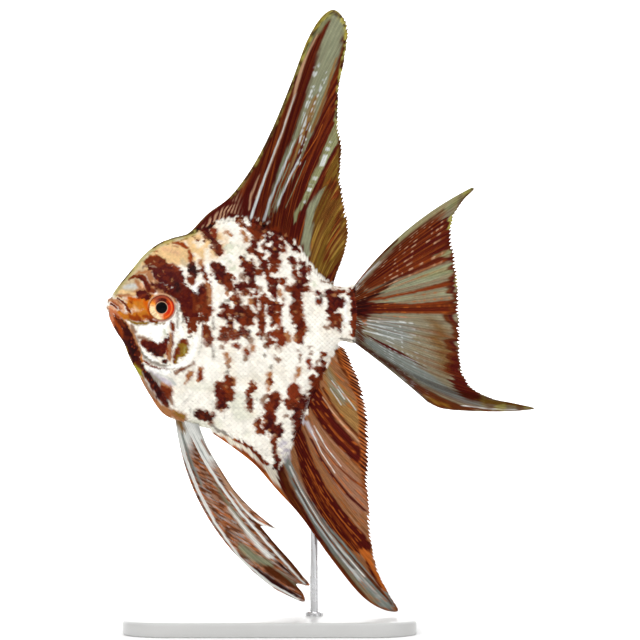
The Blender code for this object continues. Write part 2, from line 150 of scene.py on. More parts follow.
def wave(turns):
    """A wave from 0 to 1 that peaks at each whole turn."""
    return 0.5 + 0.5 * np.cos(2 * np.pi * turns)


def bell(distance, wide):
    """1 at no distance, falling off in a bell curve."""
    return np.exp(-((distance / wide) ** 2))


def scatter(i, k, seed):
    """A fixed random value from 0 to 1 for each corner of a lattice."""
    mixed = i * 374761393 + k * 668265263 + seed * 974634777
    mixed = (mixed ^ (mixed >> 13)) * 1274126177
    return ((mixed ^ (mixed >> 16)) & 0xFFFF) / 65535


def mottle(x, z, size, seed=0):
    """Random value from 0 to 1 that changes smoothly: each corner of a lattice of that size has its own
    value, and an S curve blends the four round a point."""
    gx, gz = x / size + 17.3 * seed, z / size - 9.1 * seed
    cx, cz = np.floor(gx).astype(np.int64), np.floor(gz).astype(np.int64)
    fx, fz = gx - cx, gz - cz
    fx, fz = fx * fx * (3 - 2 * fx), fz * fz * (3 - 2 * fz)
    near = scatter(cx, cz, seed) * (1 - fx) + scatter(cx + 1, cz, seed) * fx
    far = scatter(cx, cz + 1, seed) * (1 - fx) + scatter(cx + 1, cz + 1, seed) * fx
    return near * (1 - fz) + far * fz


def dots(x, z, size, seed=0):
    """Distance from the nearest of scattered spots, one in each cell of a lattice of that size, in shares of
    the size, and a random value that each spot has for its own."""
    gx, gz = x / size, z / size
    cx, cz = np.floor(gx).astype(np.int64), np.floor(gz).astype(np.int64)
    nearest, own = np.full(np.shape(x), 9.0), np.zeros(np.shape(x))
    for i in (-1, 0, 1):
        for k in (-1, 0, 1):
            ix, iz = cx + i, cz + k
            spot_x = ix + 0.2 + 0.6 * scatter(ix, iz, seed)
            spot_z = iz + 0.2 + 0.6 * scatter(ix, iz, seed + 1)
            away = np.hypot(spot_x - gx, spot_z - gz)
            closer = away < nearest
            nearest = np.where(closer, away, nearest)
            own = np.where(closer, scatter(ix, iz, seed + 2), own)
    return nearest, own


def from_line(x, z, line):
    """Distance from points to a line of corners, less the half width there. A corner is (x, z) or
    (x, z, half width)."""
    nearest = np.full(np.shape(x), 1e9)
    for start, end in zip(line[:-1], line[1:]):
        ax, az, bx, bz = start[0], start[1], end[0], end[1]
        length = (bx - ax) ** 2 + (bz - az) ** 2 + 1e-9
        f = np.clip(((x - ax) * (bx - ax) + (z - az) * (bz - az)) / length, 0, 1)
        wide = start[2] + (end[2] - start[2]) * f if len(start) > 2 else 0.0
        nearest = np.minimum(nearest, np.hypot(x - ax - f * (bx - ax), z - az - f * (bz - az)) - wide)
    return nearest


def unit(vectors):
    """Vectors brought to length 1."""
    return vectors / (np.linalg.norm(vectors, axis=-1, keepdims=True) + 1e-12)


def linear(tone):
    """Screen colour from 0 to 255 to the light that a shader works in."""
    tone = np.asarray(tone, float) / 255
    return np.where(tone <= 0.04045, tone / 12.92, ((tone + 0.055) / 1.055) ** 2.4)


def tint(colors, weight, tone):
    """Moves colours towards a tone by a weight from 0 to 1."""
    return colors + (np.asarray(tone, float) - colors) * weight[..., None]


class Paint:
    """Colours for an array of points: a ground tone, and tones laid over it one by one. A tone is a name
    among the tones given, or a screen colour."""

    def __init__(self, like, tones, ground):
        self.tones = tones
        self.colors = np.broadcast_to(self.tone(ground), (*np.shape(like), 3)).copy()

    def tone(self, tone):
        """A tone as the light that a shader works in."""
        return self.tones[tone] if isinstance(tone, str) else linear(tone)

    def lay(self, weight, tone):
        """Moves the colours towards a tone by a weight from 0 to 1."""
        self.colors = tint(self.colors, weight, self.tone(tone))


# ---------------------------------------------------------------- the body's surface


def bare_body(station, turn):
    """The body before its fine shape. turn runs round a section from the top edge (0) down the left flank
    to the bottom edge (pi) and up the right one. The half width follows a mix of a sine, which rounds the
    edges, and a squared sine, which draws them out thin."""
    top_x, top_z, low_x, low_z, bulge, half, roundness = np.moveaxis(smooth(STATIONS, station), -1, 0)
    share, side = (1 - np.cos(turn)) / 2, np.sin(turn)
    x = top_x + (low_x - top_x) * share + 4 * bulge * share * (1 - share)
    z = top_z + (low_z - top_z) * share
    y = -half * (roundness * side + (1 - roundness) * side * np.abs(side))
    return np.stack([x, y, z], axis=-1)


UPPER_LIP = ((-0.5, 1.3), (1.2, 1.3), (3.0, 0.0), (4.2, -1.5), (4.9, -2.9))
LOWER_LIP = ((-0.5, -1.0), (1.2, -1.1), (2.7, -2.0), (3.7, -3.0))
MOUTH_SLIT = ((-0.7, -0.1), (0.9, 0.3), (2.8, -0.9), (3.6, -1.9))
LIP_CREASE = ((-0.6, -2.5), (1.2, -2.6), (2.7, -3.4), (3.6, -4.4))
JAW_GROOVE = ((2.6, 2.2), (4.6, 1.1), (6.1, -0.9), (6.9, -2.6))
JAW_RIM = ((3.5, 2.6), (5.6, 1.3), (7.0, -0.8), (7.6, -2.4))
CHIN_LINE = ((3.6, -4.4), (5.6, -7.2), (7.8, -11.2), (10.2, -15.4), (13.2, -18.1))
COVER_EDGE = (
    (10, -17.3), (12.8, -18.9), (16, -19.9), (19, -20.2), (22, -19.7), (24.4, -18.9), (26.2, -17.7),
    (27.6, -15.3), (28.7, -11), (29, -6), (28.3, -1), (26.6, 3.3), (24.2, 6.3),
)
CHEEK_GROOVE = ((19.0, 3.6), (20.6, 0.0), (20.6, -5.0), (19.9, -10.0), (19.7, -15.0), (18.9, -18.4))
ARC_GROOVE = ((8.6, -12.6), (10.9, -15.9), (13.6, -17.9), (17.2, -18.9), (19.0, -18.5))


def inside(x, z, outline):
    """Whether points lie inside a closed outline: an odd number of its sides lies straight to their right."""
    within = np.zeros(np.shape(x), bool)
    for (ax, az), (bx, bz) in zip(outline, outline[1:] + outline[:1]):
        crosses = (az > z) != (bz > z)
        within ^= crosses & (x < (bx - ax) * (z - az) / (bz - az + 1e-12) + ax)
    return within


def ridge(x, z, line, wide, tall):
    """A rounded rib, or a groove where tall is negative, along a line."""
    return tall * bell(from_line(x, z, line), wide)


def fine_shape(x, z):
    """How far the skin stands out from the bare body: lips, mouth slit, creases of the jaws, nostril, cheek,
    the free edge of the gill cover, and the low roughness of the head."""
    out = ridge(x, z, UPPER_LIP, 0.75, 0.42) + ridge(x, z, LOWER_LIP, 0.6, 0.38)
    out += ridge(x, z, MOUTH_SLIT, 0.24, -0.6) * step(-0.9, 1.0, x) + ridge(x, z, LIP_CREASE, 0.3, -0.25)
    out += ridge(x, z, JAW_GROOVE, 0.3, -0.38) + ridge(x, z, JAW_RIM, 0.55, 0.22)
    out += ridge(x, z, CHIN_LINE, 0.4, -0.22)
    nostril = np.hypot(x - 7.3, z - 1.6)
    out += 0.2 * bell(nostril - 0.5, 0.22) - 0.45 * bell(nostril, 0.3)
    cover = COVER_EDGE + ((20.6, 3.0), (20.6, -5.0), (19.9, -10.0), (19.4, -16.0), (13.0, -16.0))
    edge = from_line(x, z, COVER_EDGE)
    signed = np.where(inside(x, z, cover), -edge, edge)
    lifted = step(0.12, -0.12, signed) * step(9.0, 1.0, -signed)
    out += 0.42 * lifted - 0.2 * bell(signed - 0.45, 0.35) * (signed > 0)
    out += ridge(x, z, CHEEK_GROOVE, 0.35, -0.2) + ridge(x, z, ARC_GROOVE, 0.35, -0.18)
    head = step(24.0, 12.0, x)
    out += head * 0.10 * (mottle(x, z, 1.1, 3) - 0.5) + head * 0.05 * (mottle(x, z, 0.45, 4) - 0.5)
    return out


def body_surface(station, turn):
    """The skin: the bare body pushed out along its normal by the fine shape, with the rim of the eye's
    opening drawn to a fixed depth."""
    base = bare_body(station, turn)
    nudge = 0.004
    last = len(STATIONS) - 1
    before, after = np.maximum(station - nudge, 0), np.minimum(station + nudge, last)
    along = bare_body(after, turn) - bare_body(before, turn)
    around = bare_body(station, turn + nudge) - bare_body(station, turn - nudge)
    normal = unit(np.cross(around, along))
    x, z = base[..., 0], base[..., 2]
    flank = step(0.0, 0.5, np.abs(np.sin(turn)))
    out = base + normal * (fine_shape(x, z) * np.maximum(flank, step(3.0, 1.0, x)))[..., None]
    from_eye = np.hypot(x - EYE_X, z - EYE_Z)
    rim = EYE_RIM_Y + 0.34 * bell(from_eye - EYE_SHOWS - 0.45, 0.3)
    rim -= 2.2 * step(EYE_SHOWS, EYE_SHOWS - 1.6, from_eye)
    side = np.where(np.sin(turn) < 0, 1.0, -1.0)
    near = step(EYE_SHOWS + 2.0, EYE_SHOWS + 0.5, from_eye)
    out[..., 1] += (side * rim - out[..., 1]) * near
    return out


# ---------------------------------------------------------------- markings

TONES = {
    "cream": (222, 186, 134), "ivory": (244, 239, 228), "white": (252, 251, 246), "chestnut": (70, 12, 8),
    "ink": (34, 6, 8), "brown": (106, 40, 14), "rust": (118, 44, 18), "fawn": (164, 110, 70),
    "drab": (142, 112, 92), "orange": (190, 112, 30), "amber": (198, 88, 6), "ember": (140, 56, 10),
    "sand": (198, 176, 140), "olive": (160, 148, 78), "gold": (130, 96, 26), "jaw": (54, 12, 8),
    "breast": (158, 106, 66), "silver_and_highlight": (190, 190, 184), "lip": (208, 152, 112), "coral": (190, 112, 74),
    "sage": (205, 206, 184), "lime": (156, 150, 48), "lilac": (190, 182, 190), "slate": (146, 138, 126),
    "peach": (214, 168, 128),
}
TONES = {name: linear(tone) for name, tone in TONES.items()}

# Markings of the left flank, in the order they are laid on: tone, half width, then the line's corners
MARKS = (
    ("cream", 5.4, 20, 17, 31, 19.8), ("sage", 1.6, 37, 17.5, 42, 16), ("sage", 1, 36.5, 13.6, 38.8, 11),
    ("chestnut", 1.5, 22.4, 4.6, 24.2, 2.6), ("chestnut", 2.2, 24.8, 2.4, 26, -1.6),
    ("chestnut", 1.5, 26.2, -2.4, 26.6, -4), ("brown", 1.15, 26.4, -5, 26.4, -7.4),
    ("chestnut", 0.9, 24.2, -1.6, 24.6, -3), ("brown", 1.5, 27.4, 1.8, 28, -1.4),
    ("chestnut", 2, 28.8, 4.2, 29.5, 0.6), ("brown", 1.8, 29.6, -0.4, 29.8, -3.2),
    ("rust", 0.5, 29, 2.4, 29.4, -3.2), ("brown", 1.1, 30.4, -7.4, 31, -11.6),
    ("rust", 0.45, 30.2, -8.4, 30.4, -10), ("slate", 0.35, 32.4, -4.2, 32.6, -7.4),
    ("white", 0.7, 26.7, 5.4, 27, 4.4), ("slate", 0.4, 22.1, -0.9, 22.3, -1.9),
    ("slate", 0.28, 23, -4, 22.8, -6.2), ("slate", 0.3, 23.4, -7.4, 23.5, -7.7),
    ("slate", 0.2, 25.2, -9.8, 26.2, -10.6), ("brown", 0.7, 31.4, -1, 31.9, -2),
    ("ink", 1.3, 25.8, 12.2, 26.5, 9.4), ("brown", 0.8, 25.7, 7.9, 26.2, 6.9),
    ("fawn", 0.8, 28.4, 13.7, 28.7, 12.4), ("brown", 0.6, 29.4, 11.3, 29.5, 9.7),
    ("fawn", 0.8, 30.4, 8, 31.2, 3.4, 31.6, 0.6), ("brown", 0.35, 30.5, 8.4, 31, 6.8),
    ("white", 1, 21.4, -3.8, 22.4, -8.6), ("slate", 0.26, 32.2, -12.5, 32.7, -17.2),
    ("ink", 1.1, 26.8, 23.4, 31.2, 24.7), ("chestnut", 1.2, 29.6, 22.4, 32.4, 19.8),
    ("rust", 1, 32.2, 22.9, 33.1, 21.4), ("brown", 1.15, 33.1, 18.4, 34.1, 16),
    ("fawn", 0.6, 36.7, 22.3, 37.8, 21), ("brown", 0.3, 26.7, 20.5, 27, 20.3),
    ("fawn", 0.8, 41.4, 22.7, 42.4, 20), ("brown", 1.4, 44.4, 23.6, 46.4, 20.8),
    ("brown", 0.9, 47.8, 18.6, 47.9, 18), ("brown", 0.9, 44.1, 17.1, 46.9, 15.3),
    ("brown", 0.5, 47.2, 14.2, 47.4, 12.2), ("ink", 1.6, 47, 25.2, 48.2, 23.9),
    ("chestnut", 0.9, 41.6, 14.1, 42.2, 12.6), ("chestnut", 1.6, 43.5, 12.2, 43.9, 9.2),
    ("chestnut", 1.1, 44.1, 8.2, 44.2, 5.8), ("chestnut", 1.3, 41.4, 6, 41.7, 5.6),
    ("brown", 1.1, 42.8, 3.5, 42.9, 3.2), ("drab", 0.7, 40.9, 8.8, 41, 8.6),
    ("drab", 0.7, 40.4, 1.2, 40.8, 0.8), ("fawn", 0.7, 43.7, 1.3, 43.9, 0.8),
    ("chestnut", 1, 48.6, 13, 48.9, 10), ("brown", 0.5, 46.5, 10.1, 47.5, 9.7),
    ("drab", 0.9, 46.9, 5, 47.1, 4.6), ("brown", 0.95, 47.9, 2.6, 47.5, -0.9),
    ("brown", 0.7, 47, -2.6, 46.9, -3), ("brown", 0.85, 47.5, -4.2, 47.3, -9),
    ("drab", 0.7, 48.4, -9.8, 48.8, -10.6), ("drab", 0.8, 48.6, -12.3, 48.7, -12.7),
    ("slate", 0.5, 48.4, -15, 48.5, -15.8), ("chestnut", 1.4, 33.2, 11.8, 34, 9.6),
    ("chestnut", 1.3, 35.4, 10.4, 35.9, 7.2), ("brown", 1.2, 37.3, 8.2, 37.4, 5.4),
    ("fawn", 0.7, 36.8, 3.9, 36.9, 3.3), ("slate", 0.6, 36, 1.3, 37.6, 1.2),
    ("chestnut", 1.35, 36.5, -1.2, 36, -3.4), ("brown", 0.6, 38.2, -1.9, 38.5, -2.2),
    ("chestnut", 1.4, 40.4, -1.1, 41, -2.9), ("brown", 1.2, 43, -1.4, 44, -3),
    ("chestnut", 0.9, 39.6, -4.1, 39.9, -4.5), ("brown", 1.3, 41.8, -5.4, 43.6, -5.6),
    ("rust", 0.6, 41.4, -5, 43, -6.4), ("chestnut", 1.2, 37.7, -5.9, 37.8, -7.4),
    ("brown", 1.4, 35.7, -8.4, 36.1, -10.6), ("brown", 1.2, 38, -8, 39, -9.7),
    ("chestnut", 1.2, 41.4, -7.9, 42.5, -8.9), ("drab", 0.8, 44, -10.8, 44.1, -11.3),
    ("rust", 1.1, 39.2, -12.5, 39.5, -12.9), ("drab", 0.8, 34.9, -12.8, 35.2, -13.3),
    ("fawn", 0.9, 36.3, -15.4, 37.1, -17.4), ("fawn", 0.6, 38.1, -16.8, 38, -17.4),
    ("drab", 0.65, 37.3, -18.8, 37.4, -19.2), ("fawn", 1.5, 42.8, -14.4, 44, -13.2),
    ("rust", 0.7, 42.6, -14.6, 43, -15.2), ("drab", 0.8, 42.3, -16.4, 42.4, -16.8),
    ("slate", 0.5, 36.9, -20.6, 37.2, -20.8), ("fawn", 0.95, 38, -23, 38.5, -24.3),
    ("brown", 1.1, 36.4, -22.8, 36.7, -23.4), ("brown", 1.35, 34.4, -24.6, 33.6, -26),
    ("brown", 1.4, 36.6, -25.4, 37, -28.6), ("ember", 0.6, 36.4, -25.4, 36.6, -27.4),
    ("chestnut", 1.6, 34.6, -27.4, 35.2, -30.9), ("brown", 0.85, 44.6, -25.1, 43.4, -28),
    ("brown", 0.85, 43.3, -29.4, 43.4, -32), ("slate", 0.45, 50.3, -18.8, 50.2, -20.2),
    ("fawn", 0.9, 49.8, -21.4, 49.5, -26.2), ("brown", 0.4, 50, -23, 50.1, -25),
    ("drab", 0.8, 48.8, -28, 47.6, -29.8), ("brown", 1.45, 51.2, -28.4, 51.4, -30.2),
    ("chestnut", 1, 51, -30.6, 51.2, -31.6), ("brown", 1.8, 49.6, -32, 49.9, -37),
    ("chestnut", 0.9, 49.8, -34, 50, -38.4), ("brown", 0.9, 46.7, -36, 46.1, -37.2),
    ("brown", 0.9, 46.8, -39, 47.2, -39.2), ("chestnut", 1.6, 51.6, -38.6, 52.4, -39.2),
    ("ink", 1.3, 28, -33.6, 30, -34.3), ("ink", 0.9, 30.6, -35.2, 31.4, -35.8),
    ("brown", 0.6, 32.5, -33.8, 32.6, -34.4), ("fawn", 0.8, 25.3, -20.9, 24.6, -22.6),
    ("brown", 0.4, 25, -21.8, 24.7, -22.6), ("fawn", 0.85, 28.5, -20, 28.2, -22.9),
    ("slate", 0.45, 32, -37.6, 37.6, -40.9), ("breast", 0.7, 36, -40.8, 41, -43.4),
    ("rust", 0.9, 40, -42.6, 48.4, -49.4), ("brown", 0.4, 42, -42.4, 47.4, -48.2),
    ("chestnut", 1, 44.2, 26.6, 44.8, 25.4), ("chestnut", 1.3, 50.2, 24.6, 52.8, 22.4),
    ("chestnut", 1, 54.4, 21.8, 56.2, 19.4), ("chestnut", 0.7, 57.6, 18.2, 58.8, 16.2),
    ("brown", 0.9, 40.4, 25.8, 41.2, 24.4), ("chestnut", 0.8, 48.4, 21.6, 49, 19.8),
    ("brown", 0.8, 53.6, 19.6, 54, 17.6), ("chestnut", 0.7, 44.6, 19.6, 45.6, 18.4),
    ("brown", 0.6, 49.8, 17.2, 50, 16.4), ("brown", 0.6, 45.6, 1.6, 45.8, -0.6),
    ("brown", 0.5, 49.4, 1.2, 49.6, -2.2), ("brown", 0.5, 49.6, -9.4, 49.9, -12.2),
    ("brown", 0.6, 39, 2.4, 39.6, 1.2), ("chestnut", 0.6, 38.8, 5.2, 39.2, 3.8),
    ("brown", 0.5, 45.4, 5.6, 45.6, 3.6), ("brown", 1, 50.8, 13.6, 52.2, 13.4),
    ("brown", 0.9, 52, 12, 50.4, 10.4), ("chestnut", 1.3, 51.3, 23, 51.6, 15),
    ("rust", 0.9, 50.4, 24.2, 56.4, 21.2), ("brown", 0.9, 49.2, 9.8, 49.4, 8.4),
    ("chestnut", 1.2, 50.2, 7.2, 51.8, 6.8), ("brown", 1, 53.4, 7.4, 53.5, 7),
    ("chestnut", 1.2, 51, 5, 51.2, 3), ("fawn", 0.7, 53, 3.8, 53.1, 3.2), ("drab", 0.4, 54, 1.8, 54.1, 1.6),
    ("chestnut", 1.5, 51.7, 0, 51, -1.6), ("brown", 0.95, 53, -0.6, 52.9, -1.4),
    ("brown", 0.85, 52.2, -3.4, 50.5, -6.2), ("ember", 1, 51.9, -4, 52.5, -6),
    ("brown", 0.8, 53.1, -7, 53.3, -8), ("rust", 1.55, 51.6, -9, 54, -9.9),
    ("fawn", 0.7, 55.2, -8.6, 55.6, -11), ("brown", 1.1, 52.6, -11.6, 53, -12),
    ("drab", 1, 52.1, -13.3, 52.4, -14), ("drab", 0.5, 51.4, -15.8, 51.5, -16.4),
    ("drab", 0.8, 52.6, -16.7, 52.9, -17.3), ("chestnut", 1.2, 57, 13.6, 57, 13),
    ("drab", 0.6, 57.3, 12, 57.4, 11.6), ("brown", 0.7, 57.3, 10, 58, 8.6),
    ("chestnut", 0.8, 59.8, 12.6, 60.5, 8.2), ("brown", 0.6, 62, 10.8, 62.1, 10.4),
    ("chestnut", 1.35, 59.6, 8, 59.4, 5), ("chestnut", 1.4, 57.8, 4.4, 58.5, 2),
    ("brown", 0.7, 56, 5.2, 56.1, 4.8), ("brown", 0.6, 61.1, 5, 61.3, 4.6),
    ("brown", 1.6, 58.3, 0, 58.1, -5), ("brown", 1.6, 59.2, -4.4, 59.5, -8),
    ("chestnut", 0.8, 59.6, -5, 59.6, -8.6), ("brown", 1.2, 59.2, -9, 59.1, -11),
    ("fawn", 0.7, 57.8, -10.2, 57.9, -10.8), ("drab", 0.35, 58.6, -13.5, 58.7, -14.1),
    ("drab", 0.42, 59, -15.2, 59.2, -15.9), ("drab", 0.25, 59.2, -16.8, 59.3, -17.2),
    ("chestnut", 0.8, 64.8, 3.9, 65, 3.4), ("chestnut", 0.45, 63.8, 1.5, 65.8, 1.6),
    ("brown", 0.3, 64.6, 1.2, 64.8, 0.3), ("slate", 0.3, 66.2, 3.1, 66.3, 2.9),
    ("slate", 0.2, 62, -2.6, 62.1, -2.6), ("silver_and_highlight", 0.25, 64.1, -2.6, 64.3, -2.6),
    ("slate", 0.4, 62, -8.1, 61.6, -8.5), ("sage", 0.7, 63.4, 7.2, 63.6, 6.4),
    ("drab", 0.42, 61.3, -12.6, 62.2, -13), ("drab", 0.45, 62.8, -14.1, 62.2, -15),
    ("rust", 0.85, 61.8, -17.4, 62.2, -18.6), ("drab", 0.45, 64.4, -17.6, 64.6, -18.4),
    ("brown", 0.42, 66.4, -17.3, 66.1, -19), ("brown", 0.75, 64.4, -19.8, 66.6, -20),
    ("chestnut", 1.9, 69, 3.2, 69.8, -0.6), ("chestnut", 0.8, 72, 1.6, 72.2, -0.6),
    ("chestnut", 1, 68.4, -2.2, 69, -2.6), ("brown", 1.5, 69.4, -4, 70.2, -5.5),
    ("brown", 0.9, 70.9, -3.5, 71.4, -7), ("drab", 0.7, 66.7, -6.7, 67.5, -7.5),
    ("brown", 0.8, 70.5, 3.7, 72.6, 3.9), ("chestnut", 1.4, 76.2, 4.4, 76.2, 0.6),
    ("chestnut", 1.2, 76.6, 0.4, 76.2, -2.6), ("brown", 1.2, 76.2, -4, 76.4, -8.6),
    ("brown", 0.6, 74.8, 4.6, 75.4, 3.2), ("chestnut", 1.1, 65.8, -20.6, 64.6, -26),
    ("chestnut", 1, 63.8, -27, 62.2, -31), ("brown", 0.6, 66.4, -15.4, 66.2, -18.4),
    ("white", 0.5, 73.4, 1.6, 73.4, -5.4), ("slate", 0.4, 71.8, -10.7, 76, -11.5),
    ("drab", 0.4, 66, 7.6, 72, 5.6), ("fawn", 0.8, 58.7, -19.5, 58.1, -22),
    ("fawn", 1.1, 57.4, -23.4, 57.2, -24), ("rust", 1.75, 57, -26, 57.5, -29.6),
    ("chestnut", 1.1, 59.8, -29, 60, -31.6), ("brown", 1.1, 55.5, -30.2, 55.7, -31.4),
    ("brown", 1.5, 58.3, -32, 58.3, -35), ("chestnut", 1.5, 58.5, -33.5, 58.4, -41, 59.2, -46),
    ("drab", 0.5, 54.2, -34.5, 55.4, -34.5), ("brown", 1.2, 64, -24, 64, -27),
    ("brown", 0.7, 63, -22.7, 63.1, -23.2), ("brown", 0.7, 65.6, -21.9, 64.9, -23.4),
    ("drab", 0.5, 61.3, -26.6, 62, -26.4), ("chestnut", 1.6, 64.2, -27.6, 63.9, -32),
    ("lilac", 1.6, 54, -43.6, 56, -47.6), ("brown", 0.8, 51, -41.4, 51.2, -45),
    ("chestnut", 0.75, 51.6, -46.4, 52, -50.2), ("lilac", 1.4, 61.4, -36.4, 61.8, -35.4),
)
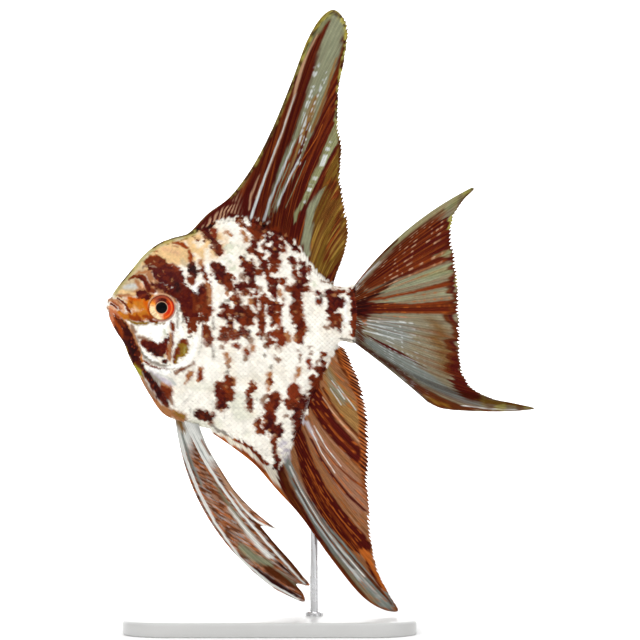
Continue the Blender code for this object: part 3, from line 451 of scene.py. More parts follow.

# Markings of the head, softer than those of the flanks, among them painted shade and a painted highlight:
# tone, softness, then corners as (x, z, half width)
FACE = (
    ("cream", 1, (12, 12, 2.4), (17, 15.6, 3), (23, 15.8, 3)),
    ("peach", 0.9, (17, 17.4, 0.5), (21.4, 15.8, 0.6)), ("sand", 0.8, (23, 13.8, 0.5), (23.6, 12.4, 0.7)),
    ("sand", 0.9, (2.6, 3.6, 1.4), (6.6, 5.2, 2.6), (9.6, 10, 2.2)),
    ("fawn", 0.8, (3.4, 2.8, 0.5), (6.8, 3, 0.7), (9.6, 4.4, 0.8)),
    ("fawn", 0.6, (8.6, 9.6, 0.4), (11.4, 10.2, 0.7), (13, 10.4, 0.5)),
    # The first mark on the next line, a pale grey patch on the forehead, is a painted highlight
    ("silver_and_highlight", 0.8, (5.2, 5.4, 0.6), (8.4, 5.8, 0.8)), ("cream", 0.5, (3.2, 4, 0.4), (7.8, 3.5, 0.5)),
    ("orange", 1.1, (7, 0.4, 2), (12.4, 0.8, 2.9)), ("orange", 0.9, (5, -3.4, 1.1), (13, -2.8, 2)),
    ("amber", 0.6, (11.4, 1, 0.7), (12.6, -2.2, 0.6)), ("amber", 0.5, (6.4, 2, 0.4), (9.4, 1.6, 0.5)),
    ("cream", 1, (8.2, -0.6, 0.1), (9.4, -1.8, 0.2)), ("ember", 0.5, (7, 1, 0.4), (7.4, 0.6, 0.4)),
    ("ember", 0.5, (6.2, -3.8, 0.8), (8.8, -4.1, 1)), ("ember", 0.4, (9, -2.9, 0.3), (10, -4.6, 0.6)),
    ("brown", 0.5, (9.6, -4.9, 0.5), (10.8, -5.2, 0.5)), ("ember", 0.6, (11.2, -3.4, 0.6), (13.2, -4, 0.8)),
    ("brown", 0.4, (13, -4.7, 0.6), (15.2, -5.5, 0.6)),
    ("gold", 0.5, (6.2, -4.8, 0.4), (9.2, -6, 0.5), (12.2, -5.6, 0.5)),
    ("gold", 0.4, (14.6, -6, 0.3), (17.6, -5.9, 0.3)),
    ("fawn", 0.9, (12.4, 9.8, 0.8), (14.4, 6.8, 1.5), (16.2, 4.6, 1.3), (19.6, 3.4, 0.8)),
    ("fawn", 0.8, (8.6, 7.2, 0.8), (10.8, 4.8, 1), (13.2, 3.4, 0.6)),
    ("fawn", 0.6, (20.4, 2.4, 0.5), (21.2, 0.8, 0.4)),
    ("slate", 0.5, (21, 0, 0.1), (21.6, -3, 0.3), (21.4, -7, 0.2)),
    ("drab", 0.3, (22.4, 1.2, 0.2), (22.8, -2.2, 0.3)),
    ("chestnut", 0.5, (21, 3.4, 0.9), (22.4, 1, 0.8), (23.6, -2.6, 0.7), (24.4, -5.6, 0.5)),
    ("white", 0.5, (10.6, -7.8, 1.2), (13.4, -8.2, 2.1), (16.4, -7.8, 1.8)),
    ("white", 0.4, (15, -9.8, 1.3), (15.2, -11.4, 0.8)),
    ("white", 0.35, (18, -6.4, 0.6), (19.2, -5.4, 0.5)), ("drab", 0.5, (7.4, -6.4, 0.5), (8, -8.4, 0.8)),
    ("slate", 0.5, (7.6, -9, 0.5), (9, -11.2, 0.7)),
    ("drab", 0.5, (9.4, -9.8, 0.5), (12.4, -10.8, 0.6), (14.4, -12.2, 0.4)),
    ("brown", 0.6, (10.8, -12, 1.2), (13, -12.8, 1.9), (15.4, -14.4, 1.8), (17.4, -12.4, 1.2)),
    ("chestnut", 0.4, (11.2, -12.4, 1), (12.8, -12.6, 1.5), (14.8, -14.4, 1.6), (16.8, -13.6, 1.3),
     (17.8, -11.2, 0.8), (18.8, -9.2, 0.5)),
    ("chestnut", 0.4, (16.4, -15.2, 1.1), (16.8, -13.6, 1.2)),
    ("ink", 0.7, (13.4, -14.2, 0.7), (16.2, -15.4, 0.8)),
    ("fawn", 0.4, (19.4, -8.6, 0.4), (19.1, -13, 0.7), (18.5, -16.8, 0.6)),
    ("brown", 0.3, (20.1, -9, 0.35), (19.9, -12, 0.25), (19.4, -16, 0.2)),
    ("brown", 0.4, (19.7, -5.4, 0.3), (20, -6.8, 0.8), (20.2, -8, 0.4)),
    ("sage", 0.4, (17.2, -7.8, 0.4), (17.6, -9, 0.4)),
    ("ember", 0.3, (18.2, -12.8, 0.3), (18.4, -15.4, 0.35)),
    ("sand", 0.3, (17.4, -15.4, 0.35), (17.6, -16, 0.3)),
    ("gold", 0.4, (23.2, -12.2, 1.5), (23.4, -14.2, 1.5), (22.4, -15.6, 0.9)),
    ("brown", 0.4, (22.8, -11, 0.7), (24.2, -11.4, 0.8)),
    ("brown", 0.4, (21.6, -13.8, 0.8), (20.8, -16, 1), (20.4, -17.4, 0.6)),
    ("gold", 0.4, (21.6, -16, 0.5), (20.8, -17.6, 0.4)),
    ("olive", 0.6, (23.8, -13, 0.2), (23.6, -14.8, 0.3)),
    ("drab", 0.3, (24.4, -10.5, 0.3), (25, -12.6, 0.3)),
    ("ink", 0.25, (17.3, -17.4, 0.75), (17.5, -17.5, 0.75)),
    ("slate", 0.35, (8.6, -12.4, 0.4), (10.2, -15, 0.6), (12.4, -17, 0.6), (14.8, -18.3, 0.5),
     (17.2, -18.9, 0.4), (19, -18.7, 0.3)),
    ("white", 0.25, (10.8, -15, 0.25), (12.8, -16.5, 0.4), (15.4, -17.3, 0.3)),
    ("white", 0.4, (12.2, -19.6, 0.5), (15.2, -20.3, 0.8), (18.8, -20.8, 0.7)),
    ("white", 0.4, (18, -19.3, 0.3), (21.6, -18.9, 0.7), (24.6, -17.2, 0.9), (26.6, -14, 0.8),
     (27.4, -10, 0.6)),
    # The next three marks, thin brown and drab lines on and just below the gill cover's lower edge, are
    # painted shadow of the raised edge
    ("brown", 0.14, (10.4, -16.9, 0.3), (13, -18.8, 0.28), (16.2, -19.7, 0.2), (19.6, -19.95, 0.1),
     (20.8, -19.6, 0.1)),
    ("drab", 0.3, (20.8, -21, 0.5), (22.2, -20.1, 0.55), (24.4, -19.2, 0.45), (25.6, -18.4, 0.4),
     (26.5, -17.6, 0.35)),
    ("brown", 0.3, (21, -20.8, 0.35), (23.2, -19.7, 0.2)),
    ("lilac", 0.7, (12.8, -20.6, 0.4), (15.6, -22.6, 0.8), (18.8, -24.4, 0.9)),
    ("slate", 0.5, (13, -21.4, 0.6), (15.8, -23.8, 0.8)),
    ("silver_and_highlight", 0.6, (15.4, -21.4, 0.3), (18.6, -22.4, 0.4), (20.6, -24.6, 0.5)),
    ("brown", 0.4, (16.4, -25, 0.8), (18.4, -26.8, 1.5), (18.8, -28.6, 1.1)),
    ("fawn", 0.5, (16.4, -24.2, 0.4), (19.4, -25.6, 0.4)),
    ("drab", 0.5, (19.3, -28.6, 0.5), (19.6, -30.6, 0.5)),
    ("fawn", 0.4, (4.2, -4.2, 0.3), (6.4, -7, 0.6), (8, -10.6, 0.7), (9.6, -14.4, 0.5)),
    ("ember", 0.7, (2, -4.6, 1.2), (3.2, -7.4, 1.5), (4.8, -10.6, 1)),
    ("coral", 0.5, (0.6, -3.2, 0.8), (1.2, -5.4, 0.6), (2.6, -8.6, 0.4)),
    ("brown", 0.6, (1.6, -5.4, 0.2), (2.6, -7.8, 0.5), (3.8, -10.6, 0.7)),
    ("jaw", 0.4, (2, -6.6, 0.2), (3.4, -10, 0.4)), ("orange", 0.5, (9.8, -15.4, 0.3), (10.4, -17.6, 0.5)),
    ("jaw", 0.35, (2.2, -3.4, 0.4), (3.4, -4.9, 0.8), (5.2, -6.9, 0.95), (6, -9.6, 1.5), (6.2, -12.4, 2.4),
     (7.6, -15.2, 2.2), (8.8, -17.2, 1.1), (9.6, -18.8, 0.5)),
    ("ink", 0.6, (6.4, -11.4, 0.4), (7.8, -13.8, 0.8), (8.4, -16.4, 0.6)),
    ("brown", 0.5, (3.4, -4.8, 0.3), (5, -6.6, 0.3)), ("gold", 0.4, (5.2, -13, 0.3), (6.2, -16, 0.4)),
    ("drab", 0.3, (6.4, -16.4, 0.3), (7.6, -18.4, 0.3)), ("jaw", 0.5, (8.6, -17.6, 1.4), (9.6, -19.8, 1.3)),
    ("gold", 0.6, (8, -18.4, 0.5), (9.4, -20.6, 0.8), (10.6, -22.6, 0.5)),
    ("lime", 0.5, (8.2, -18.8, 0.2), (9.2, -20.4, 0.5), (9.8, -21.6, 0.3)),
    ("breast", 0.5, (10, -23.2, 0.6), (12.6, -27.2, 0.9), (15.4, -31.2, 0.9), (18.4, -33.8, 1)),
    ("drab", 0.5, (10.6, -23, 0.3), (13.8, -28.4, 0.4)),
    ("jaw", 0.4, (10.5, -18.6, 0.4), (11, -20.6, 0.8), (12.5, -22.8, 1.15), (14.1, -25.2, 1.3),
     (15.8, -27.6, 1.45), (17, -29.6, 1.2), (17.9, -31.2, 0.8)),
    ("ink", 0.6, (11.6, -21.4, 0.3), (13, -23.4, 0.6), (15.6, -27.2, 0.7)),
    ("brown", 0.3, (13.8, -28.8, 0.2), (14.6, -29.6, 0.3)),
    ("breast", 0.7, (18, -33, 1.2), (22.6, -35, 1.5)),
    ("gold", 0.8, (20.4, -33.4, 0.4), (23.4, -34.6, 0.6)),
    ("brown", 0.5, (24.8, -22, 0.5), (25, -22.8, 0.6)), ("fawn", 0.5, (25.4, -21, 0.6), (23.8, -24.4, 0.3)),
    ("rust", 0.45, (28.4, -20.8, 0.7), (28.3, -22.8, 0.85)),
    ("drab", 0.5, (21.2, -20.8, 0.5), (20.8, -21.4, 0.4)),
    ("brown", 0.3, (6.3, 7.8, 0.3), (8.4, 8.8, 0.55), (10.2, 8.6, 0.75), (11.4, 7.5, 0.75),
     (12.1, 6.1, 0.95), (12.9, 4.9, 1.1), (14.2, 4.2, 0.8)),
    ("chestnut", 0.3, (9.8, 8.5, 0.4), (11.4, 7.4, 0.3), (12, 6, 0.4), (12.8, 4.8, 0.5)),
    ("chestnut", 0.4, (9.4, 3.2, 0.9), (10.9, 3, 1.5), (12.2, 2.2, 1)),
    ("rust", 0.4, (9.4, 2.2, 0.3), (11.6, 3.2, 0.2)), ("peach", 0.4, (10.2, 6.2, 0.5), (10.4, 5.6, 0.4)),
    ("fawn", 0.5, (11.8, 9, 0.5), (13.4, 7.4, 0.6), (14, 5.4, 0.5)),
    ("drab", 0.4, (10.6, 11.6, 0.4), (12.2, 12.6, 0.5)),
    ("brown", 0.4, (11.6, 13.2, 0.8), (13.4, 14.2, 1.1), (15.6, 14, 1.1), (17.2, 13.2, 0.9)),
    ("chestnut", 0.4, (13.2, 11.8, 1.2), (16.2, 11.8, 1.8), (18.6, 10.6, 1.9), (21, 9.4, 2)),
    ("chestnut", 0.4, (14.6, 10.2, 1.2), (17.6, 8.2, 2), (21.4, 7.2, 2.2)),
    ("chestnut", 0.5, (14, 6.6, 0.9), (17.2, 5.1, 1.3), (19, 4.4, 1.5), (20.8, 3.6, 1.7)),
    ("chestnut", 0.4, (20.4, 3.6, 1.2), (22.4, 5.2, 1.8), (24, 4.2, 1.4)),
    ("rust", 0.5, (18.6, 12.3, 0.5), (20, 12.4, 0.4), (21.6, 11.2, 0.7)),
    ("brown", 0.5, (13.6, 13, 0.4), (15.8, 12.4, 0.6), (17.4, 12.6, 0.4)),
    ("ink", 0.9, (19.2, 8, 0.4), (21.4, 5.8, 1), (21.6, 4.4, 0.8)),
    ("drab", 0.3, (12.8, 12.2, 0.2), (14.6, 11.9, 0.15)),
    ("fawn", 0.2, (13.9, 13.3, 0.12), (14.4, 13.1, 0.12)),
    ("fawn", 0.2, (15.3, 9.8, 0.1), (15.8, 8.9, 0.14)), ("fawn", 0.16, (19.6, 8.3, 0.06), (19.9, 7.3, 0.1)),
    ("fawn", 0.2, (17, 10.9, 0.1), (17.1, 10.2, 0.1)), ("fawn", 0.2, (18.1, 5.6, 0.1), (18.7, 4.6, 0.1)),
    ("ember", 0.3, (15.5, 7.9, 0.25), (15.9, 7.2, 0.2)), ("peach", 0.4, (14, 7.6, 0.3), (14.4, 7, 0.3)),
    ("ember", 0.45, (20, 19.5, 0.3), (22.2, 18.9, 0.6), (23.4, 18.2, 0.8), (24.2, 17.7, 0.5)),
    ("fawn", 0.4, (20, 18.3, 0.2), (21.4, 18, 0.3)),
    ("ember", 0.5, (25, 16.6, 0.5), (25.6, 15.2, 0.8), (25.2, 13.6, 0.6)),
    ("gold", 0.3, (18.1, 18.6, 0.2), (18.5, 18.6, 0.2)),
    ("gold", 0.4, (22.2, 20.2, 0.25), (24, 20.5, 0.35)), ("ember", 0.35, (13, 16.4, 0.15), (15, 16.4, 0.2)),
    ("ember", 0.4, (12.4, 15.3, 0.2), (14.8, 15.1, 0.3)),
    ("lip", 0.5, (0, 1.4, 0.6), (2, 1.2, 0.7), (3.8, 0, 0.7), (4.8, -1.6, 0.4)),
    ("coral", 0.5, (0.8, -1.6, 1), (2.6, -2.4, 1), (3.6, -3.8, 0.6)),
    ("lip", 0.25, (0.3, -0.7, 0.3), (1.6, -0.9, 0.35), (3.2, -2, 0.25)),
    ("fawn", 0.5, (0.2, 1.6, 0.3), (2.4, 1.5, 0.3), (4.2, 0.2, 0.3)),
    # Ember line along the underside of the upper lip: painted shade
    ("ember", 0.5, (1.4, 0.9, 0.3), (2.8, 0.2, 0.3), (4, -1.2, 0.25)),
    ("orange", 0.6, (3.6, -2.2, 0.7), (5.2, -3.8, 1)),
    # The next marks darken the mouth slit and the crease under the lower lip: painted shade
    ("ember", 0.25, (0.9, 0.2, 0.3), (1.8, -0.1, 0.34), (2.9, -1, 0.2)),
    ("jaw", 0.15, (1.1, 0.1, 0.16), (1.9, -0.3, 0.18)), ("ember", 0.3, (2, -2.9, 0.15), (3.2, -3.9, 0.25)),
    # Drab line round the lips' front edge, where they turn away: painted shade
    ("drab", 0.25, (0.9, 2.1, 0.2), (-0.2, 1.2, 0.2), (-0.3, -0.2, 0.15), (-0.1, -1.6, 0.15),
     (0.6, -3.4, 0.25)),
    ("ember", 0.35, (2.6, 2.7, 0.15), (4, 2.4, 0.25)),
    ("cream", 0.25, (2.2, 2.5, 0.15), (4.2, 2, 0.2), (5.8, 0.5, 0.15)),
    # Dark brown line in the jaw groove: painted shade in the crease
    ("brown", 0.2, (2.7, 1.9, 0.22), (4.1, 1.2, 0.32), (5.3, 0, 0.34), (6.1, -1.2, 0.34), (6.7, -2.4, 0.2)),
    ("peach", 0.3, (7.2, -1.2, 0.2), (7.4, -2.6, 0.25)),
)

DARK = ("chestnut", "brown", "ink")


def body_tones(x, z, side):
    """Colours of the skin. Each mark is a line of a given half width, whose edge mottles warp and scattered
    dots scallop. The right flank has the same kinds of mark, drawn out of place by broad warps, as no fish is
    even."""
    if side > 0:
        behind = step(18, 30, x) * step(0.4, 4.0, from_line(x, z, OUTLINE))
        x = x + behind * (5.0 * (mottle(x, z, 19, 31) - 0.5) + 2.0)
        z = z + behind * (9.0 * (mottle(x, z, 23, 32) - 0.5) - 3.0)
    paint = Paint(x, TONES, "ivory")
    low_belly = step(-18, -30, z) * step(18, 26, x) * step(60, 44, x)
    patch, _ = dots(x, z, 0.9, 5)
    grain = step(0.5, 0.75, patch) * step(0.35, 0.6, mottle(x, z, 4.0, 6))
    paint.lay(0.7 * grain * (0.3 + 0.7 * low_belly + 0.3 * step(6, 12, z)), "slate")
    paint.lay(0.55 * low_belly * step(0.3, 0.8, mottle(x, z, 3.0, 16)), "sage")
    paint.lay(0.16 * step(0.5, 0.8, mottle(x, z, 3.2, 7)), "sand")
    warp_x, warp_z = mottle(x, z, 1.5, 8) - 0.5, mottle(x, z, 1.5, 9) - 0.5
    fine_x, fine_z = mottle(x, z, 0.6, 10) - 0.5, mottle(x, z, 0.6, 11) - 0.5
    mx, mz = x + 0.8 * warp_x + 0.3 * fine_x, z + 0.8 * warp_z + 0.3 * fine_z
    spot, own = dots(x, z, 1.25, 14)
    bead, bead_own = dots(x, z, 0.85, 24)
    scallop = 0.8 * (spot - 0.42) + 1.0 * (own - 0.5)
    away = [from_line(mx, mz, tuple(zip(mark[2::2], mark[3::2]))) - mark[1] for mark in MARKS]
    for (tone, wide, *_), far in zip(MARKS, away):
        if wide > 2.5:
            broken = 0.25 + 0.75 * step(0.25, 0.65, mottle(x, z, 1.3, 19))
            paint.lay(step(2.0, -1.6, far) * broken, tone)
    nearest = np.min([far for mark, far in zip(MARKS, away) if mark[0] in DARK and mark[1] > 0.55], axis=0)
    rim = nearest + scallop - 0.12
    paint.lay(0.85 * step(0.42, -0.05, rim), "fawn")
    for (tone, wide, *_), far in zip(MARKS, away):
        if wide <= 2.5:
            edge = far + scallop - 0.16 if tone in DARK else far + 0.5 * scallop
            soft = 0.16 + 0.06 * wide
            whole = wide < 1.0 or tone in DARK + ("rust",)
            weight = 1.0 if whole else 0.2 + 0.8 * step(0.3, 0.6, mottle(x, z, 1.1, 21))
            paint.lay(step(soft, -soft, edge) * weight, tone)
    inner = step(0.0, -0.3, rim) * step(26, 30, x)
    reddish = step(0.4, 0.8, bead_own) * step(0.6, 0.3, bead) * (0.4 + 0.8 * mottle(x, z, 5.0, 17))
    paint.lay(np.clip(0.8 * inner * reddish, 0, 1), "rust")
    paint.lay(0.6 * inner * step(0.45, 0.2, bead_own), "ink")
    paint.lay(0.8 * inner * (bead_own > 0.955), "fawn")
    for tone, soft, *line in FACE:
        far = from_line(x + 0.5 * warp_x + 0.45 * fine_x, z + 0.5 * warp_z + 0.45 * fine_z, line)
        if line[0][-1] > 0.8:
            far = far + 0.5 * (bead - 0.4) + 0.5 * (bead_own - 0.5)
        paint.lay(step(0.8 * soft, -0.8 * soft, far), tone)
    on_patch = step(0.2, 0.06, paint.colors[..., 0]) * step(30, 26, x)
    flecks = step(0.45, 0.2, bead) * (bead_own > 0.82) + 0.35 * step(0.55, 0.8, mottle(x, z, 1.3, 22))
    paint.lay(0.8 * on_patch * np.clip(flecks, 0, 1), "rust")
    edge = from_line(x, z, BACK)
    paint.lay(0.85 * step(1.7, 0.5, edge) * step(0.8, 2.6, x), "olive")
    paint.lay(0.9 * step(0.55, 0.2, edge) * step(0.35, 0.55, mottle(x, z, 3.4, 18)), "gold")
    inky = np.maximum(step(0.5, 0.7, mottle(x, z, 3.4, 18)), step(16, 20, x))
    paint.lay(0.75 * step(0.6, 0.25, edge) * inky, "ink")
    from_eye = np.hypot(x - EYE_X, z - EYE_Z)
    up = (z - EYE_Z) / (from_eye + 1e-9)
    ring = step(EYE_SHOWS + 0.7, EYE_SHOWS + 0.3, from_eye)
    paint.lay(0.8 * ring, "ember")
    pale = step(0.32, 0.12, np.abs(from_eye - EYE_SHOWS - 0.3)) * step(-0.1, 0.5, up)
    paint.lay(0.8 * pale, "peach")
    shade = 0.8 + 0.24 * mottle(x, z, 0.5, 12) + 0.14 * mottle(x, z, 1.6, 13)
    return np.clip(paint.colors * shade[..., None], 0.003, 0.96)


BACK = tuple(row[:2] for row in STATIONS[1:9]) + ((26.0, 22.5),)
OUTLINE = tuple(row[:2] for row in STATIONS) + tuple(row[2:4] for row in reversed(STATIONS))

# ---------------------------------------------------------------- making meshes and finishes


def map_along(x):
    """Place of x along the map for baking, from the snout to the tail."""
    return np.clip((x + 2) / 82, 0, 1)


def grid_faces(rows, columns, first=0, wraps=False):
    """Quads of a grid of points numbered row by row, whose columns may close into a ring."""
    row, column = np.indices((rows - 1, columns if wraps else columns - 1))
    a = first + row * columns + column
    b = first + row * columns + (column + 1) % columns
    return np.stack([a, b, b + columns, a + columns], axis=-1).reshape(-1, 4)


def closed_rings(rows, count):
    """Faces of rings of points joined into a tube, with one face over each end."""
    ring = np.arange(count)[None]
    return [grid_faces(rows, count, wraps=True), ring[:, ::-1], (rows - 1) * count + ring]


def make(name, points, faces, finish, nodes=(), colors=None, rays=None, bake=None):
    """One mesh object from arrays, in the frame's metres, with its colours, its count of rays for the finish
    and its map for baking. On that map a face over the seam runs past it, and one that would bridge two
    parts of the map shrinks to its first corner."""
    mesh = bpy.data.meshes.new(name)
    sides = [np.asarray(f) for f in (faces if isinstance(faces, list) else [faces])]
    corners = np.concatenate([f.ravel() for f in sides])
    counts = np.concatenate([np.full(len(f), f.shape[1]) for f in sides])
    points = np.asarray(points, float).reshape(-1, 3)
    mesh.vertices.add(len(points))
    mesh.vertices.foreach_set("co", points.ravel())
    mesh.loops.add(len(corners))
    mesh.loops.foreach_set("vertex_index", corners)
    mesh.polygons.add(len(counts))
    mesh.polygons.foreach_set("loop_start", np.concatenate([[0], np.cumsum(counts)[:-1]]))
    mesh.update(calc_edges=True)
    mesh.polygons.foreach_set("use_smooth", np.ones(len(counts), bool))
    if colors is not None:
        layer = mesh.color_attributes.new("Tone", "FLOAT_COLOR", "POINT")
        rgba = np.ones((len(points), 4))
        rgba[:, :3] = np.asarray(colors).reshape(-1, 3)
        layer.data.foreach_set("color", rgba.ravel())
    if rays is not None:
        layer = mesh.attributes.new("Ray", "FLOAT", "POINT")
        layer.data.foreach_set("value", np.asarray(rays, float).ravel())
    if bake is not None:
        uv = mesh.uv_layers.new(name="OFBake")
        places = np.asarray(bake, float).reshape(-1, 2)[corners]
        first = places[np.repeat(np.cumsum(counts) - counts, counts)]
        fall = first[:, 1] - places[:, 1]
        places[:, 1] += fall > 0.9
        bridge = (np.abs(fall) > 0.3) & (np.abs(fall) < 0.9)
        places[bridge] = first[bridge]
        uv.data.foreach_set("uv", np.clip(places, 0, 1).ravel())
    mesh.materials.append(finish)
    mesh.validate()
    made = bpy.data.objects.new(name, mesh)
    bpy.context.scene.collection.objects.link(made)
    if nodes:
        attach(made, "root")
        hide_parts(*nodes)
    return made


class Finish:
    """A material built up node by node round one Principled shader."""

    def __init__(self, name, **sockets):
        self.material = bpy.data.materials.new(name)
        self.material.use_nodes = True
        self.tree = self.material.node_tree
        self.shader = self.tree.nodes["Principled BSDF"]
        for socket, value in sockets.items():
            self.shader.inputs[socket.replace("_", " ")].default_value = value

    def join(self, value, socket):
        """Links a value to a socket, or sets it there if it is a plain one."""
        if isinstance(value, bpy.types.NodeSocket):
            self.tree.links.new(value, socket)
        else:
            socket.default_value = value

    def add(self, kind, inputs, **settings):
        """One node, with its settings and what its inputs are given."""
        node = self.tree.nodes.new("ShaderNode" + kind)
        for word, value in settings.items():
            setattr(node, word, value)
        for word, value in inputs.items():
            self.join(value, node.inputs[word])
        return node

    def feed(self, socket, value):
        """Links a value to a socket of the shader."""
        self.tree.links.new(value, self.shader.inputs[socket])

    def own(self, word):
        """A number or colour that the mesh carries."""
        return self.add("Attribute", {}, attribute_name=word).outputs["Color" if word == "Tone" else "Fac"]

    def noise(self, size, detail=2.0):
        """Noise whose spots are about size millimetres across."""
        where = self.add("TexCoord", {}).outputs["Object"]
        inputs = {"Vector": where, "Scale": 0.5 / (size * MM), "Detail": detail}
        return self.add("TexNoise", inputs).outputs["Fac"]

    def math(self, operation, *values):
        """One sum on values or numbers."""
        return self.add("Math", dict(enumerate(values)), operation=operation).outputs["Value"]

    def spread(self, value, low, high):
        """A value from 0 to 1 brought to a range."""
        return self.add("MapRange", {"Value": value, "To Min": low, "To Max": high}).outputs["Result"]

    def shaded(self, color, amount):
        """A colour made darker or lighter by a factor."""
        return self.add("VectorMath", {0: color, 1: amount}, operation="MULTIPLY").outputs["Vector"]

    def cloudy(self, first, second, size, detail=2.0):
        """Base colour that wanders between two tones in clouds about size millimetres across."""
        inputs = {"Fac": self.noise(size, detail), "Color1": (*first, 1), "Color2": (*second, 1)}
        self.feed("Base Color", self.add("MixRGB", inputs).outputs[0])

    def bump(self, height, depth):
        """Relief depth millimetres deep."""
        relief = self.add("Bump", {"Height": height, "Distance": depth * MM, "Strength": 1.0})
        self.feed("Normal", relief.outputs[0])


def skin_finish():
    """Satin skin with a fine grain, in its own colours finely clouded."""
    made = Finish("fish skin", Roughness=0.4, Specular_IOR_Level=0.04)
    made.feed("Base Color", made.shaded(made.own("Tone"), made.spread(made.noise(0.4, 3.0), 0.85, 1.15)))
    made.feed("Roughness", made.spread(made.noise(0.8), 0.34, 0.5))
    made.bump(made.noise(0.3, 3.0), 0.06)
    return made.material


def scale_finish():
    """Scales in their own colours, with an uneven gloss."""
    made = Finish("fish scales", Roughness=0.34, Specular_IOR_Level=0.045)
    made.feed("Base Color", made.own("Tone"))
    made.feed("Roughness", made.spread(made.noise(1.5), 0.3, 0.46))
    return made.material


def fin_finish():
    """Membrane with fine lines along its rays: Ray counts the rays, and its fraction gives the line."""
    made = Finish("fin membrane", Roughness=0.5, Specular_IOR_Level=0.03)
    coarse = made.math("SINE", made.math("MULTIPLY", made.own("Ray"), 2 * math.pi))
    fine = made.math("SINE", made.math("MULTIPLY", made.own("Ray"), 6 * math.pi))
    lines = made.math("ADD", made.math("MULTIPLY", coarse, 0.5), made.math("MULTIPLY", fine, 0.5))
    tone = made.math("MULTIPLY_ADD", lines, 0.2, 1.0)
    grain = made.math("MULTIPLY", tone, made.spread(made.noise(0.5), 0.9, 1.1))
    made.feed("Base Color", made.shaded(made.own("Tone"), grain))
    made.bump(lines, 0.12)
    return made.material


def clear_fin_finish():
    """Glass-clear membrane, which only its fine rays make visible."""
    made = Finish("clear fin", Roughness=0.3, Specular_IOR_Level=0.1)
    made.shader.inputs["Base Color"].default_value = (*linear((214, 206, 184)), 1)
    coarse = made.math("SINE", made.math("MULTIPLY", made.own("Ray"), 2 * math.pi))
    ray = made.math("POWER", made.math("MULTIPLY_ADD", coarse, 0.5, 0.5), 4.0)
    made.feed("Alpha", made.spread(ray, 0.006, 0.05))
    made.bump(coarse, 0.1)
    return made.material


def eye_finish():
    """The eye's own colours, finely clouded, under a thin wet coat."""
    made = Finish("fish eye", Roughness=0.3, Specular_IOR_Level=0.05)
    for socket, value in (("Coat Weight", 0.14), ("Coat Roughness", 0.03), ("Coat IOR", 1.33)):
        made.shader.inputs[socket].default_value = value
    made.feed("Base Color", made.shaded(made.own("Tone"), made.spread(made.noise(0.25, 3.0), 0.85, 1.15)))
    return made.material


def plate_finish():
    """Pale grey satin lacquer."""
    made = Finish("satin lacquer", Roughness=0.4, Coat_Weight=0.3, Coat_Roughness=0.3)
    made.cloudy((0.5, 0.5, 0.49), (0.56, 0.56, 0.55), 6.0, 4.0)
    made.feed("Roughness", made.spread(made.noise(2.5), 0.36, 0.46))
    made.bump(made.noise(0.5), 0.01)
    return made.material


def steel_finish():
    """Bare satin steel."""
    made = Finish("satin steel", Roughness=0.28, Metallic=1.0)
    made.cloudy((0.6, 0.6, 0.61), (0.7, 0.7, 0.71), 3.0)
    made.feed("Roughness", made.spread(made.noise(1.0), 0.22, 0.34))
    return made.material


# ---------------------------------------------------------------- skin

ROWS_BETWEEN = (14, 14, 16, 18, 20, 22, 22, 22, 14) + (9,) * 11
RING = 368


def skin(finish):
    """One closed skin: rings round the stations, closer together on the head, with a domed front and an end
    drawn thin into the tail fin."""
    stations = [np.linspace(k, k + 1, n, endpoint=False) for k, n in enumerate(ROWS_BETWEEN)]
    stations = np.concatenate(stations + [[len(ROWS_BETWEEN)]])
    turn = np.linspace(0, 2 * np.pi, RING, endpoint=False)
    turn = turn + 0.17 * np.sin(2 * turn)
    body = body_surface(*np.meshgrid(stations, turn, indexing="ij"))
    front, end = body[0], body[-1]
    middle = front.mean(axis=0)
    caps = []
    for reach in (0.02, 0.3, 0.6, 0.85):
        ring = middle + (front - middle) * reach
        ring[:, 0] -= 0.5 * (1 - reach**2)
        ring[:, 0] += 0.22 * bell(ring[:, 2] - 0.15, 0.24)
        caps.append(ring)
    tails = [end * [1, thin, 0.99] + [push, 0, 0] for thin, push in ((0.75, 0.5), (0.45, 1.1), (0.3, 1.8))]
    last = tails[-1] * [1, 0.1, 1]
    height = last[:, 2].mean()
    last[:, 2] = height + (last[:, 2] - height) * 0.1
    points = np.concatenate([caps, body, tails, [last]])
    x, z = points[..., 0], points[..., 2]
    right = step(-0.6, 0.6, points[..., 1])[..., None]
    colors = body_tones(x, z, -1) * (1 - right) + body_tones(x, z, 1) * right
    around = np.broadcast_to(np.linspace(0, 1, RING, endpoint=False), x.shape)
    make(
        "skin", place(points), closed_rings(len(points), RING), finish,
        ("head", "lower_jaw", "gill_cover_left", "gill_cover_right", "trunk", "tail_stalk"),
        colors, bake=np.stack([map_along(x), around], axis=-1),
    )


# ---------------------------------------------------------------- scales

MAP_PITCH = 0.5
MAP_X = np.arange(0.0, 76.0, MAP_PITCH)
MAP_STEPS = 160


def flank_map():
    """The left flank on a grid of x and of even shares of the way down its arc: its points, its arc at each
    x, and the arc from the top edge to the middle line, which falls a little towards the tail."""
    x, turn = np.meshgrid(MAP_X, np.linspace(0, np.pi, MAP_STEPS), indexing="ij")
    low, high = np.zeros_like(x), np.full_like(x, len(STATIONS) - 1)
    for _ in range(26):  # halvings, down to less than a millionth of a station
        middle = (low + high) / 2
        short = bare_body(middle, turn)[..., 0] < x
        low, high = np.where(short, middle, low), np.where(short, high, middle)
    points = body_surface(low, turn)
    arcs = np.zeros(x.shape)
    arcs[:, 1:] = np.cumsum(np.linalg.norm(np.diff(points, axis=1), axis=-1), axis=1)
    total = arcs[:, -1]
    flank, middle = [], []
    for at, row, arc in zip(MAP_X, points, arcs):
        even = np.linspace(0, 1, MAP_STEPS) * arc[-1]
        row = np.stack([np.interp(even, arc, row[:, k]) for k in range(3)], axis=-1)
        flank.append(row)
        middle.append(np.interp(0.5 + 0.03 * at, -row[:, 2], even))
    return np.array(flank), total, np.array(middle)


FLANK, ARC_TOTAL, MIDDLE_ARC = flank_map()


